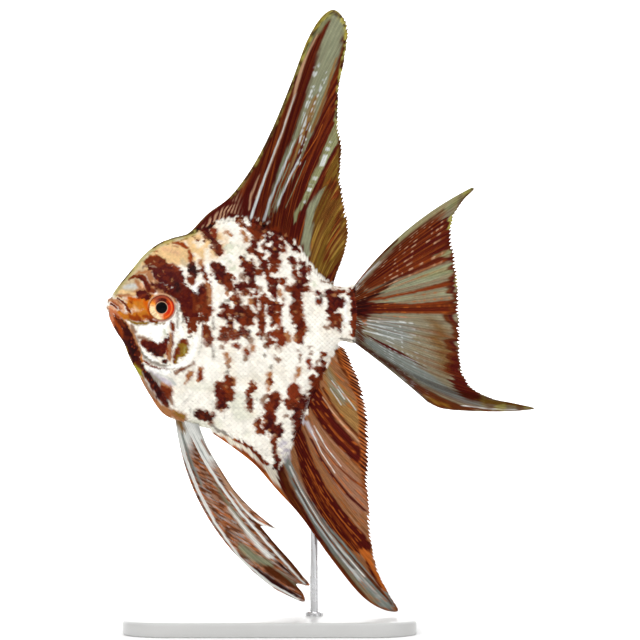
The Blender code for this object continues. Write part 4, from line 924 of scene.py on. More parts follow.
def on_flank(x, arc):
    """Points of the left flank at x and at arc lengths below its middle line. Past an edge the other flank
    carries on."""
    most = 1.001  # keeps the last place just inside the map
    gx = np.clip(x / MAP_PITCH, 0, len(MAP_X) - most)
    column = gx.astype(int)
    fx = gx - column
    total = ARC_TOTAL[column] * (1 - fx) + ARC_TOTAL[column + 1] * fx
    middle = MIDDLE_ARC[column] * (1 - fx) + MIDDLE_ARC[column + 1] * fx
    share = (middle + arc) / total
    over = np.where((share < 0) | (share > 1), -1.0, 1.0)
    share = np.where(share > 1, 2 - share, np.abs(share))
    gz = np.clip(share * (MAP_STEPS - 1), 0, MAP_STEPS - most)
    line = gz.astype(int)
    fz = gz - line
    fx, fz = fx[..., None], fz[..., None]
    upper = FLANK[column, line] * (1 - fx) + FLANK[column + 1, line] * fx
    lower = FLANK[column, line + 1] * (1 - fx) + FLANK[column + 1, line + 1] * fx
    point = upper * (1 - fz) + lower * fz
    point[..., 1] *= over
    return point, share


SCALE_ROWS = np.array([-1.0, -0.35, 0.3, 0.75, 1.0])
SCALE_ACROSS = np.linspace(-1, 1, 7)
SCALE_GRID = np.arange(len(SCALE_ROWS) * len(SCALE_ACROSS)).reshape(len(SCALE_ROWS), len(SCALE_ACROSS))
SCALE_RIM = np.concatenate(
    [SCALE_GRID[0], SCALE_GRID[1:, -1], SCALE_GRID[-1, -2::-1], SCALE_GRID[-2:0:-1, 0]]
)
SCALE_ON_MAP = 0.0015  # half the size of a scale's patch on the map for baking
FULL_SCALE, SMALL_SCALE = 1.45, 1.1  # heights of the scales on trunk and head


def scale_places(pitch, tall, seed):
    """Centres of scales: columns half a scale apart, every second one shifted by half a scale, each a
    little out of its place."""
    rng = np.random.default_rng(seed)
    columns = np.arange(1.0, 74.0, pitch)
    found = []
    for k, x in enumerate(columns):
        top = -np.interp(x, MAP_X, MIDDLE_ARC)
        bottom = np.interp(x, MAP_X, ARC_TOTAL) + top
        arcs = np.arange(math.ceil(top / tall) - 1, math.floor(bottom / tall) + 2) * tall + (k % 2) * tall / 2
        arcs = arcs[(arcs > top) & (arcs < bottom)]
        found.append(np.stack([np.full_like(arcs, x), arcs], axis=1))
    found = np.concatenate(found)
    return found + rng.normal(0, 0.035, found.shape) * tall


SNOUT_FOLD = ((-2, 6), (5, 6), (9, 4), (11, -3), (9.5, -9), (10.0, -16), (8, -22))
HEAD_ZONE = (
    (9, -16), (20, -20.4), (24.6, -19), (27.8, -15.4), (29.2, -6), (28.4, -0.6), (25, 6), (26, 24), (8, 24),
)


def scaled_zone(x, z):
    """Where the skin carries scales and how large: 0 none, 1 small ones on the head, 2 full ones."""
    from_eye = np.hypot(x - EYE_X, z - EYE_Z)
    bare = (x < 9.5) | (from_line(x, z, SNOUT_FOLD) < 1.5) | (from_eye < EYE_SHOWS + 1.6)
    bare |= ((x < 14) & (z > 1)) | ((x < 16) & (z < -18.5)) | ((x < 12) & (z < -16))
    return np.where(bare, 0, np.where(inside(x, z, HEAD_ZONE), 1, 2))


def scales(name, chosen, tall, side, finish, seed):
    """Joined scales: each is a fan-shaped plate on the flank. Its root lies under the skin and its rounded
    rear edge stands off it by its lift, over the next ones. A skirt and a floor close it below."""
    rng = np.random.default_rng(seed)
    count = len(chosen)
    start_x, start_arc = chosen[:, 0, None, None], chosen[:, 1, None, None]
    long = tall * 0.98 * rng.uniform(0.94, 1.06, count)
    half = tall * 0.62 * rng.uniform(0.94, 1.06, count)
    rows, across = np.meshgrid(SCALE_ROWS, SCALE_ACROSS, indexing="ij")
    width = np.sqrt(np.clip(1 - np.clip(rows, 0, 1) ** 2.6 * 0.93, 0.05, 1))
    width = width * (0.82 + 0.18 * step(-1, 0.2, rows))
    back = rows - 0.16 * across**2 * step(-0.4, 1.0, rows)
    center, share = on_flank(chosen[:, 0], chosen[:, 1])
    lean = np.interp(chosen[:, 0], (0, 30, 60, 76), (0.0, 0.0, 0.06, 0.1))
    slope = (0.5 - share) * lean * 2
    x = start_x + back * long[:, None, None]
    arc = start_arc + across * width * half[:, None, None] + slope[:, None, None] * back * long[:, None, None]
    nudge = 0.15
    surface, right, down = (on_flank(x + dx, arc + da)[0] for dx, da in ((0, 0), (nudge, 0), (0, nudge)))
    normal = unit(np.cross(down - surface, right - surface))
    rise = -0.10 + 0.24 * step(-1.0, 0.9, rows) - 0.05 * across**2 * step(0.2, 1, rows)
    rise = rise[None] * (tall / FULL_SCALE) ** 0.7 * rng.uniform(0.85, 1.15, (count, 1, 1))
    each, turn = SCALE_GRID.size, len(SCALE_RIM)
    top = (surface + normal * rise[..., None]).reshape(count, each, 3)
    floor = (surface - normal * (0.16 * tall / FULL_SCALE)).reshape(count, each, 3)
    points = np.concatenate([top, floor[:, SCALE_RIM]], axis=1)
    below = each + np.arange(turn)
    skirt = np.stack([SCALE_RIM, np.roll(SCALE_RIM, -1), np.roll(below, -1), below], axis=1)
    firsts = (np.arange(count) * (each + turn))[:, None, None]
    quads = (np.concatenate([grid_faces(*SCALE_GRID.shape), skirt[:, ::-1]])[None] + firsts).reshape(-1, 4)
    grounds = (below[None, None, ::-1] + firsts).reshape(-1, turn)
    if side > 0:
        points, quads, grounds = points * [1, -1, 1], quads[:, ::-1], grounds[:, ::-1]
    place_x, place_z = center[:, 0] + 0.25 * long, center[:, 2]
    tone = body_tones(place_x, place_z, side)
    own = body_tones(points[..., 0], points[..., 2], side)
    blend = np.where(scaled_zone(place_x, place_z) == 1, 1.0, 0.72)[:, None, None]
    colors = tone[:, None, :] * (1 - blend) + own * blend
    # Painted shade and light: each scale darker at its root, where the scale in front overlaps it, lighter
    # towards its rear edge, and darker still on its skirt
    shade = np.concatenate([(0.86 + 0.17 * step(-0.6, 0.6, rows)).ravel(), np.full(turn, 0.78)])
    colors = colors * shade[None, :, None] * rng.uniform(0.93, 1.05, (count, 1, 1))
    dark = step(0.2, 0.06, colors[..., 0]) * rng.uniform(0.0, 0.5, (count, 1)) ** 2
    colors = tint(colors, dark, TONES["rust"])
    patch = np.stack([back, across], axis=-1).reshape(-1, 2)
    patch = np.concatenate([patch, patch[SCALE_RIM]])
    root = np.stack([map_along(chosen[:, 0]), 0.5 + 0.5 * side * (0.98 - share * 0.95)], axis=1)
    make(
        name, place(points.reshape(-1, 3)), [quads, grounds], finish, ("trunk",),
        np.clip(colors, 0.004, 0.96), bake=root[:, None, :] + patch[None] * SCALE_ON_MAP,
    )


def coat(finish):
    """All scales: full ones on the trunk in two lengths, and small ones on cheek, gill cover and nape."""
    for side, word in ((-1, "left"), (1, "right")):
        for kind, zone, pitch, tall, cuts in (
            ("body", 2, 0.74, FULL_SCALE, (0, 44, 80)),
            ("head", 1, 0.56, SMALL_SCALE, (0, 80)),
        ):
            places = scale_places(pitch, tall, 5 if side < 0 else 6)
            center, _ = on_flank(places[:, 0], places[:, 1])
            fits = scaled_zone(center[:, 0], center[:, 2]) == zone
            for k, (start, end) in enumerate(zip(cuts[:-1], cuts[1:])):
                within = fits & (places[:, 0] >= start) & (places[:, 0] < end)
                scales(f"scales_{word}_{kind}_{k + 1}", places[within], tall, side, finish, 11 + k)


# ---------------------------------------------------------------- eyes


def eye(word, side, finish):
    """A flattened ball: rings from the outward pole, coloured by their radius and angle."""
    polar = np.concatenate([np.linspace(0.001, 1.9, 110), np.linspace(2.0, np.pi - 0.001, 10)])
    around = np.linspace(0, 2 * np.pi, 144, endpoint=False)
    polar, around = np.meshgrid(polar, around, indexing="ij")
    radius = EYE_RADIUS * np.sin(polar)
    bulge = EYE_HALF_DEPTH * np.cos(polar)
    front = polar < np.pi / 2
    bulge = bulge - front * 0.06 * bell(radius - PUPIL - 0.12, 0.16)
    points = np.stack(
        [EYE_X + radius * np.cos(around), side * (EYE_Y + bulge), EYE_Z + radius * np.sin(around)], axis=-1
    )
    streak = mottle(around * 14, radius * 0.8, 1.0, 21)
    soft = 0.5 * (mottle(around * 3, radius * 1.2, 1.0, 22) - 0.5)
    up, back = np.sin(around), np.cos(around)
    paint = Paint(radius, {}, (214, 84, 20))
    paint.lay(step(0.3, 0.95, -back + soft), (240, 150, 52))
    paint.lay(step(0.2, 0.9, back + 0.3 * soft), (206, 40, 6))
    paint.lay(step(0.35, 0.95, -0.75 * back - 0.7 * up + soft) * step(1.9, 2.3, radius), (250, 226, 176))
    paint.lay(step(0.35, 0.85, up + soft) * step(3.35, 2.9, radius), (66, 12, 6))
    paint.lay(step(0.3, 0.8, up + soft) * step(2.9, 3.3, radius), (142, 62, 40))
    slanted = step(0.55, 0.1, np.abs(-0.9 * back + 0.3 - up)) * (back < 0)
    paint.lay(0.8 * slanted * step(2.9, 2.3, radius), (112, 20, 2))
    paint.lay(0.35 * step(0.5, 0.8, streak) * step(2.0, 2.4, radius), (150, 50, 10))
    paint.lay(0.6 * step(0.35, 0.1, np.abs(radius - 3.15)) * step(0.1, 0.8, back - 0.2 * up), (244, 116, 40))
    paint.lay(step(PUPIL + 0.34, PUPIL + 0.14, radius), (196, 150, 118))
    paint.lay(step(PUPIL + 0.12, PUPIL - 0.02, radius), (3, 3, 4))
    paint.lay(0.8 * step(3.5, 3.8, radius) * step(-0.2, -0.7, up), (150, 96, 44))
    paint.lay(0.7 * step(3.55, 3.85, radius) * step(-0.4, 0.2, up), (110, 50, 24))
    colors = np.where(front[..., None], paint.colors, linear((60, 30, 20)))
    faces = closed_rings(*radius.shape)
    if side < 0:
        faces = [f[:, ::-1] for f in faces]
    make(f"eye_{word}_ball", place(points), faces, finish, ("eye_" + word,), colors)


# ---------------------------------------------------------------- fins


def outline_point(station, share):
    """Point of the body's side outline, at its top (share 0) or bottom (share 1)."""
    return bare_body(np.asarray(station, float), np.full(len(station), share * np.pi))[:, [0, 2]]


def fan(roots, rays, across, along):
    """Points of a fin seen from the side. Each ray runs from its root to its tip along a parabola that bows
    to its right by its bend times its length."""
    at = across * (len(rays) - 1)
    root, tip, bend = smooth(roots, at), smooth(rays[:, 1:3], at), smooth(rays[:, 3], at)
    run = tip - root
    bow = np.stack([run[..., 1], -run[..., 0]], axis=-1) * bend
    t = along[..., None]
    return root + run * t + 4 * bow * t * (1 - t)


def shares(roots, rays, count, fringe):
    """Places across a fin, closer together where its fringed edge is long for the number of rays."""
    fine = np.linspace(0, 1, 2001)
    at = fine * (len(rays) - 1)
    root, tip = smooth(roots, at), smooth(rays[:, 1:3], at)
    root_run = np.linalg.norm(np.diff(root, axis=0), axis=1)
    tip_run = np.linalg.norm(np.diff(tip, axis=0), axis=1)
    weight = root_run / 0.35 + tip_run * (0.35 + 2.2 * fringe((fine[1:] + fine[:-1]) / 2))
    total = np.concatenate([[0], np.cumsum(weight)])
    places = np.interp(np.linspace(0, total[-1], count), total, fine)
    return places, np.interp(places, fine, np.concatenate([[0], np.cumsum(tip_run)]))


def fin(
    name, roots, rays, sway, tones, finish, count, steps, ray_count, fringe,
    sunk=1.0, thick=(1.2, 0.34), tooth=1.15, bite=0.9, join=0.0,
):
    """A fin as one closed sheet, of count places across and steps out. Its rays fan out from the roots, which
    are sunk into the body, and sway moves them sideways. The sheet thins outward, and ray_count rays stand
    out as ribs. Its free edge is cut into teeth where fringe says so, each tooth wide and bite deep. Over a
    belt join wide, the body's colours run into the fin's."""
    rays = np.asarray(rays, float)
    across, edge_run = shares(roots, rays, count, fringe)
    edge_run = edge_run + 0.7 * mottle(edge_run, 0 * edge_run, 2.6, 43)
    below = 4
    along = np.concatenate([np.linspace(-1, 0, below, endpoint=False), np.linspace(0, 1, steps - below)])
    grid_across, grid_along = np.meshgrid(across, along, indexing="ij")
    cut = fringe(across) * bite * wave(edge_run / tooth) * (0.5 + mottle(edge_run, 0 * edge_run, 2.0, 41))
    at = across * (len(rays) - 1)
    length = np.maximum(np.linalg.norm(smooth(rays[:, 1:3], at) - smooth(roots, at), axis=-1), 1.5)[:, None]
    outer = grid_along * (1 - cut[:, None] / np.maximum(length, 2.0) * grid_along**3)
    stretched = np.where(grid_along < 0, grid_along * sunk / length, outer)
    x, z = np.moveaxis(fan(roots, rays, grid_across, stretched), -1, 0)
    t = np.clip(stretched, 0, 1)
    y = sway(grid_across, t)
    rib = wave(grid_across * ray_count)
    wall = thick[1] + (thick[0] - thick[1]) * (1 - t) ** 4 + 0.16 * rib * (1 - t) ** 0.5
    from_side = np.minimum(np.arange(count), count - 1 - np.arange(count))[:, None]
    from_edge = (steps - 1 - np.arange(steps))[None]
    wall = wall * np.sqrt(np.clip(from_side / 1.5, 0, 1) * np.clip(from_edge, 0, 1)) / 2
    colors = tones(x, z, grid_across, t, edge_run[:, None] + 0 * x)
    if join:
        reach = t * length + join * (mottle(grid_across * 90, 0 * x, 1.0, 42) - 0.5)
        near_body = step(join, 0.2 * join, reach)[..., None]
        colors = colors * (1 - near_body) + body_tones(x, z, -1) * near_body
    points = [np.stack([x, y + side * wall, z], axis=-1) for side in (-1, 1)]
    near = grid_faces(count, steps)
    far = grid_faces(count, steps, first=count * steps)[:, ::-1]
    top = np.arange(count - 1) * steps
    foot = np.stack([top, top + steps, top + steps + count * steps, top + count * steps], axis=-1)
    u, v = grid_across * 0.96 + 0.02, np.clip(grid_along, 0, 1) * 0.46 + 0.02
    made = make(
        name + "_membrane", place(points), np.concatenate([near, far, foot[:, ::-1]]), finish, (name,),
        [colors] * 2, [grid_across * ray_count] * 2, [np.stack([u, v + half], axis=-1) for half in (0, 0.5)],
    )
    tidy_faces(made)


def tidy_faces(made):
    """Merges the two sheets along their shared edges and turns all faces outward."""
    shape = bmesh.new()
    shape.from_mesh(made.data)
    bmesh.ops.remove_doubles(shape, verts=shape.verts, dist=1e-8)
    bmesh.ops.recalc_face_normals(shape, faces=shape.faces)
    if shape.calc_volume(signed=True) < 0:
        bmesh.ops.reverse_faces(shape, faces=shape.faces)
    shape.to_mesh(made.data)
    shape.free()


FIN_TONES = {
    "dark": (74, 16, 10), "deep": (46, 8, 8), "brown": (112, 46, 16), "tan": (144, 106, 60),
    "peach": (196, 152, 120), "white": (242, 242, 236), "wheat": (176, 168, 126), "sage": (140, 142, 114),
    "moss": (136, 136, 98), "gold": (134, 92, 28), "straw": (168, 130, 58), "olive": (112, 82, 28),
    "umber": (88, 40, 14), "orange": (184, 96, 36), "clay": (142, 94, 60), "steel": (126, 131, 124),
    "ash": (132, 122, 98), "pearl": (208, 212, 210), "smoke": (116, 86, 50), "belly": (226, 218, 200),
    "lilac": (196, 188, 192), "silver_and_highlight": (186, 184, 172), "pink": (148, 104, 80), "lime": (172, 166, 84),
}
FIN_TONES = {name: linear(tone) for name, tone in FIN_TONES.items()}
FIN_TONES["yellow"] = np.array([0.62, 0.5, 0.06])


def lay_stripes(paint, x, z, stripes, across, count, shift=3.0, aside=0.6):
    """Stripes laid over a fin's colours in order. Each strand of the membrane reads the wide ones from a
    place a little further out or in along its ray and to one side, so that they end in fine points."""
    along_x, along_z = np.gradient(x, axis=1), np.gradient(z, axis=1)
    length = np.hypot(along_x, along_z) + 1e-9
    out = shift * (mottle(across * count, 0 * x, 1.0, 52) + mottle(across * 2.7 * count, 0 * x, 1.0, 55) - 1)
    side = aside * (mottle(across * count * 1.6, 0 * x, 1.0, 53) - 0.5) + 0.3 * (mottle(x, z, 1.3, 51) - 0.5)
    for tone, soft, *line in stripes:
        bent = min(1.0, max(corner[2] for corner in line) / 0.9) / length
        px = x + bent * (out * along_x - side * along_z)
        pz = z + bent * (out * along_z + side * along_x)
        paint.lay(step(soft, -soft, from_line(px, pz, line)), tone)


def strands(across, t, count, stretch, seed, low, high):
    """Fine lines along the rays, from 0 to 1."""
    return step(low, high, mottle(across * count, t * stretch, 1.0, seed))


def edged(paint, margin, across, tone, wide=1.0):
    """A darker, grained border along the free edge, and fine grain all over."""
    grain = 0.4 + 0.6 * mottle(across * 260, 0 * margin, 1.0, 57)
    paint.lay(0.6 * step(wide, 0.2, margin) * grain, tone)
    grain = 0.86 + 0.28 * mottle(across * 420, margin * 1.6, 1.0, 58)
    return np.clip(paint.colors * grain[..., None], 0.003, 0.95)


def tips(rays):
    """The free edge, as a line through the tips of the rays."""
    return tuple((ray[1], ray[2]) for ray in rays)


REAR_FIELD = (
    (66, 13, 4), (69, 20, 6.4), (70, 28, 6.4), (70.8, 34, 5.4), (71.4, 40, 4), (72.2, 46, 2.4),
    (73, 52, 1.4),
)
DORSAL_STRIPES = (
    ("brown", 0.6, (41, 35, 0.8), (46.6, 46, 1.3), (50.6, 54, 1.2), (55, 64, 1), (59.6, 76, 0.6)),
    ("tan", 0.5, (41.6, 37, 0.3), (47, 47.4, 0.5), (51, 55, 0.5), (55, 65, 0.5), (59.4, 76.4, 0.3)),
    ("olive", 0.5, *REAR_FIELD),
    ("sage", 0.8, (51, 30, 1.6), (53.5, 36, 2.6), (56, 44, 3), (59, 50, 2.6), (61.4, 56, 3), (63.4, 62, 3),
     (65, 68, 3), (67, 74, 3), (69, 82, 3.2), (71, 89, 3)),
    ("tan", 0.9, (55, 40, 0.6), (58, 46, 1), (60, 52, 1.2), (62, 58, 1), (63.6, 64, 0.6)),
    ("moss", 0.6, (60.5, 77, 0.4), (62.5, 82, 0.7), (66, 87.5, 1), (70, 91.5, 0.9), (73.4, 88, 0.7),
     (74, 84, 0.4)),
    ("peach", 0.3, (54.3, 56, 0.2), (57.2, 64, 0.4), (59.1, 72, 0.5), (60.7, 76, 0.4), (64.8, 84, 0.2)),
    ("dark", 0.35, (47.2, 24, 2), (46.7, 28, 1.2), (47.1, 32, 1.35), (48.8, 36, 1.45), (50.6, 40, 1.3),
     (51.6, 44, 1.4), (53.3, 48, 1.5), (55, 52, 1.55), (56.6, 56, 1.45), (57.7, 60, 1.4), (59.4, 64, 1.35),
     (60.3, 68, 1.2), (61.5, 72, 1.2), (62.9, 76, 1.1), (64.3, 80, 1), (66.2, 84, 0.9), (69, 89.4, 0.5)),
    ("dark", 0.4, (41.4, 27.6, 2), (42.3, 32, 1.8), (44.2, 36, 1), (45.8, 40, 1.1), (47.3, 44, 1.1),
     (49.2, 48, 1), (51.1, 52, 0.5), (53.4, 57, 0.25)),
    ("peach", 0.3, (43.4, 30, 0.2), (44, 34, 0.3), (46.4, 40, 0.25)),
    ("brown", 0.35, (50.6, 29, 0.5), (51, 32, 0.6), (52.5, 36, 0.8), (54.4, 40, 0.7), (55.7, 44, 0.6),
     (57.4, 48, 0.5), (58.9, 52, 0.3)),
    ("dark", 0.3, (53.6, 33, 0.5), (55.4, 38, 0.6), (57.6, 43, 0.5), (60.2, 50, 0.35), (61.8, 56, 0.2)),
    ("tan", 0.4, (63, 54, 0.5), (65.4, 60, 0.5), (67, 65, 0.4), (68.4, 70, 0.4), (70.2, 76, 0.3)),
    ("dark", 0.4, (53, 25, 3.4), (55, 29, 3.2), (56.4, 32, 2.8), (58.4, 36, 2.9), (60.2, 40, 2.8),
     (62, 44, 2.9), (63.7, 48, 2.7), (65.4, 52, 2.4), (67.2, 56, 2.3), (68, 60, 1.9), (69.2, 64, 1.4),
     (70, 68, 1), (70.7, 72, 0.85), (71.9, 76, 0.6), (72.6, 80, 0.6), (73, 83, 0.3)),
    ("brown", 0.4, (55, 31, 0.3), (59, 39, 0.5), (63, 47, 0.4), (66.6, 55, 0.4), (68.4, 61, 0.3)),
    ("orange", 0.18, (54.6, 36, 0.08), (57.4, 41, 0.1), (61, 46.5, 0.08), (64.5, 52, 0.1), (66.2, 56, 0.08)),
    ("moss", 0.35, (57.8, 26, 0.5), (57.9, 28, 0.8), (60.5, 32, 0.8), (62.5, 36, 0.85), (64.2, 40, 1.1),
     (66.2, 44, 1), (68, 48, 1.3), (69.8, 52, 1.6), (70.5, 56, 0.8), (70.8, 61, 0.35)),
    ("dark", 0.35, (59.6, 16, 0.8), (58.4, 20, 1), (59.2, 24, 1.2), (59.9, 28, 1.05), (62.2, 32, 0.75),
     (64.4, 36, 0.75), (66.4, 40, 0.7), (68, 44, 0.6), (70, 48, 0.45)),
    ("sage", 0.5, (61.2, 15, 0.9), (60.9, 20, 1.3), (61.7, 24, 1.2), (62.2, 28, 1.1), (64, 32, 0.9),
     (66, 36, 0.5)),
    ("umber", 0.9, (68.6, 37, 1.3), (69.8, 33.5, 1.4)),
    ("umber", 0.9, (71.6, 27, 1.2), (70, 21, 1.6), (67.4, 14, 1)),
    ("peach", 0.3, (45.6, 33, 0.2), (48.4, 39.4, 0.35), (53.2, 52, 0.3), (57, 63.4, 0.35), (60.4, 75, 0.3)),
    ("pearl", 0.18, (43.8, 26, 0.4), (45.7, 32, 0.4), (48.7, 40.6, 0.25), (53.8, 54, 0.14),
     (57.4, 64.6, 0.16)),
    ("pearl", 0.18, (48, 26, 0.4), (49.8, 32, 0.4), (51.4, 36, 0.3), (54.4, 43.4, 0.35), (58, 52, 0.1)),
    ("pearl", 0.15, (52.2, 31, 0.25), (54.4, 36, 0.35), (57.2, 41.6, 0.25), (59.6, 47, 0.1)),
    ("sage", 0.15, (50.6, 30, 0.1), (52.6, 36, 0.14), (56, 44, 0.14)),
    ("sage", 0.12, (54.6, 30, 0.08), (57.4, 36, 0.1), (61, 44.6, 0.06)),
)
PEARLS = (
    ((58.8, 44), (60, 54), (61, 60), (62.9, 66), (64.6, 75)),
    ((60.6, 50), (62, 55.6), (63.3, 60), (65.9, 67), (67.4, 72.5)),
    ((59.8, 31), (62.9, 37.7), (65.9, 43), (68.4, 50)),
)


def dorsal_tones(x, z, across, t, run):
    """Old gold at the rear with fine straw and brown lines, the stripes of the fin laid on, rows of pearly
    blocks, pale and dark bars between the short spines in front, and beads along the front edge."""
    paint = Paint(x, FIN_TONES, "dark")
    paint.lay(0.7 * strands(across, t, 120, 3.0, 54, 0.45, 0.75), "brown")
    lay_stripes(paint, x, z, DORSAL_STRIPES, across, 60)
    dim = step(0.1, 0.04, paint.colors[..., 1]) * step(44, 48, x)
    paint.lay(0.5 * strands(across, t, 150, 2.0, 78, 0.5, 0.7) * dim, "brown")
    paint.lay(0.3 * strands(across, t, 190, 4.0, 79, 0.66, 0.8) * dim, "orange")
    rear = step(0.6, -0.6, from_line(x, z, REAR_FIELD)) * step(59, 62, x - 0.1 * z)
    paint.lay(0.8 * rear * strands(across, t, 190, 2.0, 53, 0.5, 0.75), "straw")
    paint.lay(0.65 * rear * strands(across, t, 150, 3.0, 59, 0.5, 0.75), "umber")
    paint.lay(0.3 * strands(across, t, 170, 3.0, 60, 0.6, 0.8), "dark")
    for k, line in enumerate(PEARLS):
        blocks = step(0.46, 0.6, mottle(across * 24 + k, z + 0.2 * x, 0.85, 66))
        near = step(0.85, 0.55, from_line(x, z, line))
        paint.lay(0.85 * (near * blocks) * strands(across, t, 160, 1.0, 67, 0.35, 0.6), "pearl")
    margin = from_line(x, z, tips(DORSAL_RAYS))
    front = step(42, 38, x) * step(-1, 1, z - 21)
    paint.lay(front, "dark")
    bars = step(0.35, 0.75, wave(across * 62 + 0.8 * mottle(x, z, 3.0, 56)))
    bars = front * bars * step(1.0, 2.0, margin) * step(0.9, 0.6, mottle(x, z, 2.0, 68))
    paint.lay(0.8 * bars, "peach")
    lead = step(1.5, 0.7, margin) * step(78, 75, x) * step(32, 36, z) * step(72, 70, x - 0.06 * z)
    bead = step(0.45, 0.65, mottle(x, z + 0.4 * x, 0.8, 69))
    paint.lay(0.8 * lead * (1 - bead), "deep")
    paint.lay((0.55 + 0.45 * step(60, 72, z)) * lead * bead, "lime")
    paint.lay(0.6 * lead * step(74, 80, z) * step(0.5, 0.7, mottle(x, z, 0.9, 70)), "yellow")
    rear = step(1.5, 0.6, margin) * step(60, 50, z) * step(60, 66, x)
    comb = step(0.3, 0.7, wave(run / 1.25))
    paint.lay(0.75 * rear * (0.4 + 0.6 * comb), "umber")
    return edged(paint, margin, across, "smoke", 0.7)


CAUDAL_STRIPES = (
    ("steel", 3, (82, -6, 1), (86, -7.6, 3.4), (91, -9, 3)),
    ("smoke", 2.5, (100.6, -6, 1.6), (103.4, -13, 2.6), (104.4, -20, 1.6)),
    ("steel", 0.6, (79, -10.6, 0.7), (86, -15, 1.7), (92, -18.5, 2), (98, -22.6, 1.9), (104, -26.6, 1.3),
     (110, -29.8, 0.8), (116, -31.4, 0.5)),
    ("umber", 0.4, (76.5, -11.8, 0.6), (84, -16.6, 0.45), (90, -20.7, 0.6), (96, -26, 1.1),
     (100, -28.9, 1.7), (104, -30.7, 1.5), (110, -32.2, 0.7), (118, -32.8, 0.3)),
    ("gold", 0.4, (97, -27.6, 0.2), (101, -30, 0.5), (105, -31.2, 0.3)),
    ("dark", 0.5, (80, 6, 1.4), (86, 10, 3.2), (92, 14, 5), (98, 18, 6), (103, 21, 6)),
    ("moss", 0.4, (78.6, 9.6, 0.3), (84, 15.2, 0.5), (88, 18.8, 0.75), (92, 22.2, 0.9), (96, 25.4, 1.1),
     (100, 28.2, 1.3), (104, 30.8, 1.7), (108, 33.4, 1.6), (112.6, 35.8, 0.9)),
    ("lime", 0.6, (106, 32.6, 0.6), (109, 34.4, 0.7), (112.6, 36, 0.5)),
    ("wheat", 0.5, (84, 15.4, 0.2), (90, 20.6, 0.6), (97, 26.2, 0.8), (104, 31, 0.8), (110, 34.8, 0.6)),
    ("umber", 0.25, (88, 17.4, 0.2), (96, 23.8, 0.25), (104, 29.6, 0.25)),
    ("umber", 0.3, (77, 7.6, 0.5), (82, 13.6, 0.4), (90, 20.6, 0.3)),
    ("white", 0.4, (77.4, 7, 0.35), (80, 9.8, 0.3), (84, 13.4, 0.2)),
    ("moss", 0.4, (100, 14.4, 0.4), (104.6, 15.8, 1)),
    ("dark", 0.3, (96, 11.4, 0.5), (101, 13.4, 0.9), (106, 14.2, 0.6)),
    ("sage", 0.35, (82, 3, 0.2), (86, 4.6, 0.8), (90, 6.1, 1.2), (94, 7.4, 1.45), (98, 8.8, 1.85),
     (102, 9.9, 2.1), (105, 10.4, 2.2)),
    ("moss", 1.2, (96, 8.6, 0.4), (101, 9.8, 1), (105, 10.6, 1.2)),
    ("brown", 0.3, (79, 1.4, 0.6), (86, 2.2, 0.35), (92, 3.4, 0.35), (98, 4.7, 0.5), (106.5, 6.9, 0.8)),
    ("sage", 0.35, (84, 0.7, 0.2), (88, 1.3, 0.6), (92, 1.9, 0.8), (96, 2.6, 0.9), (100, 3.3, 1.2),
     (105, 3.9, 1.3)),
    ("dark", 0.4, (77, -0.6, 3.4), (80, -1, 2.6), (84, -1.2, 1.8), (90, -1.2, 1.45), (96, -1.2, 1.6),
     (102, -0.7, 1.9), (107, -0.5, 2.1)),
    ("brown", 0.3, (84, -0.4, 0.2), (94, -0.2, 0.4), (106, 0.9, 0.5)),
    ("brown", 0.3, (84, -2.2, 0.2), (94, -2.4, 0.3), (106, -2.4, 0.5)),
    ("deep", 0.7, (77, 4.4, 1.8), (78.4, 0.4, 2.6), (78, -2.6, 1.8)),
    ("deep", 0.5, (78, 1, 1.6), (84, 4.6, 1), (88, 7.6, 0.4)),
    ("umber", 0.4, (77.4, -4.4, 1.2), (77.6, -10.6, 1.1)),
    ("orange", 0.4, (79.2, -5, 0.3), (79.8, -6, 0.3)), ("pearl", 0.2, (79, -5.7, 0.1), (88, -7.2, 0.1)),
    ("pearl", 0.2, (79, -7.9, 0.18), (84, -9.2, 0.16), (91, -11, 0.1)),
    ("pearl", 0.2, (80, -4.8, 0.08), (92, -5.6, 0.1)), ("pearl", 0.2, (80, -6.6, 0.08), (94, -10.2, 0.08)),
    ("white", 0.3, (76.3, 6, 0.6), (76.8, 5.3, 0.6)),
    ("dark", 0.22, (80, -9.5, 0.15), (83, -11.2, 0.3), (87, -13.3, 0.45), (92, -15.9, 0.32),
     (98, -19.5, 0.1)),
    ("umber", 0.7, (105.6, 22, 0.4), (106.2, 14, 0.5), (106.6, 6, 0.6), (106.4, 0, 1), (106.4, -8, 1),
     (106.2, -15, 1.3), (105.8, -20, 1.6)),
    ("dark", 0.5, (106.2, 22, 0.4), (107, 14, 0.5), (107.6, 6, 0.7), (107.8, 0, 0.8), (107.8, -8, 0.8),
     (107.8, -15, 0.9), (107.4, -20, 1.7), (108.4, -24, 2.5), (111, -27.2, 2.2), (116, -29.6, 1)),
    ("lime", 0.4, (106, 27, 0.6), (106.8, 20, 0.6), (108, 13, 0.5), (108.6, 6, 0.3)),
    ("olive", 0.4, (116, -29.8, 0.9), (121, -30.6, 0.7), (127, -31.2, 0.5), (131, -32, 0.3)),
    ("white", 0.2, (110, -31.3, 0.12), (118, -32.3, 0.16), (126, -32.6, 0.12)),
)


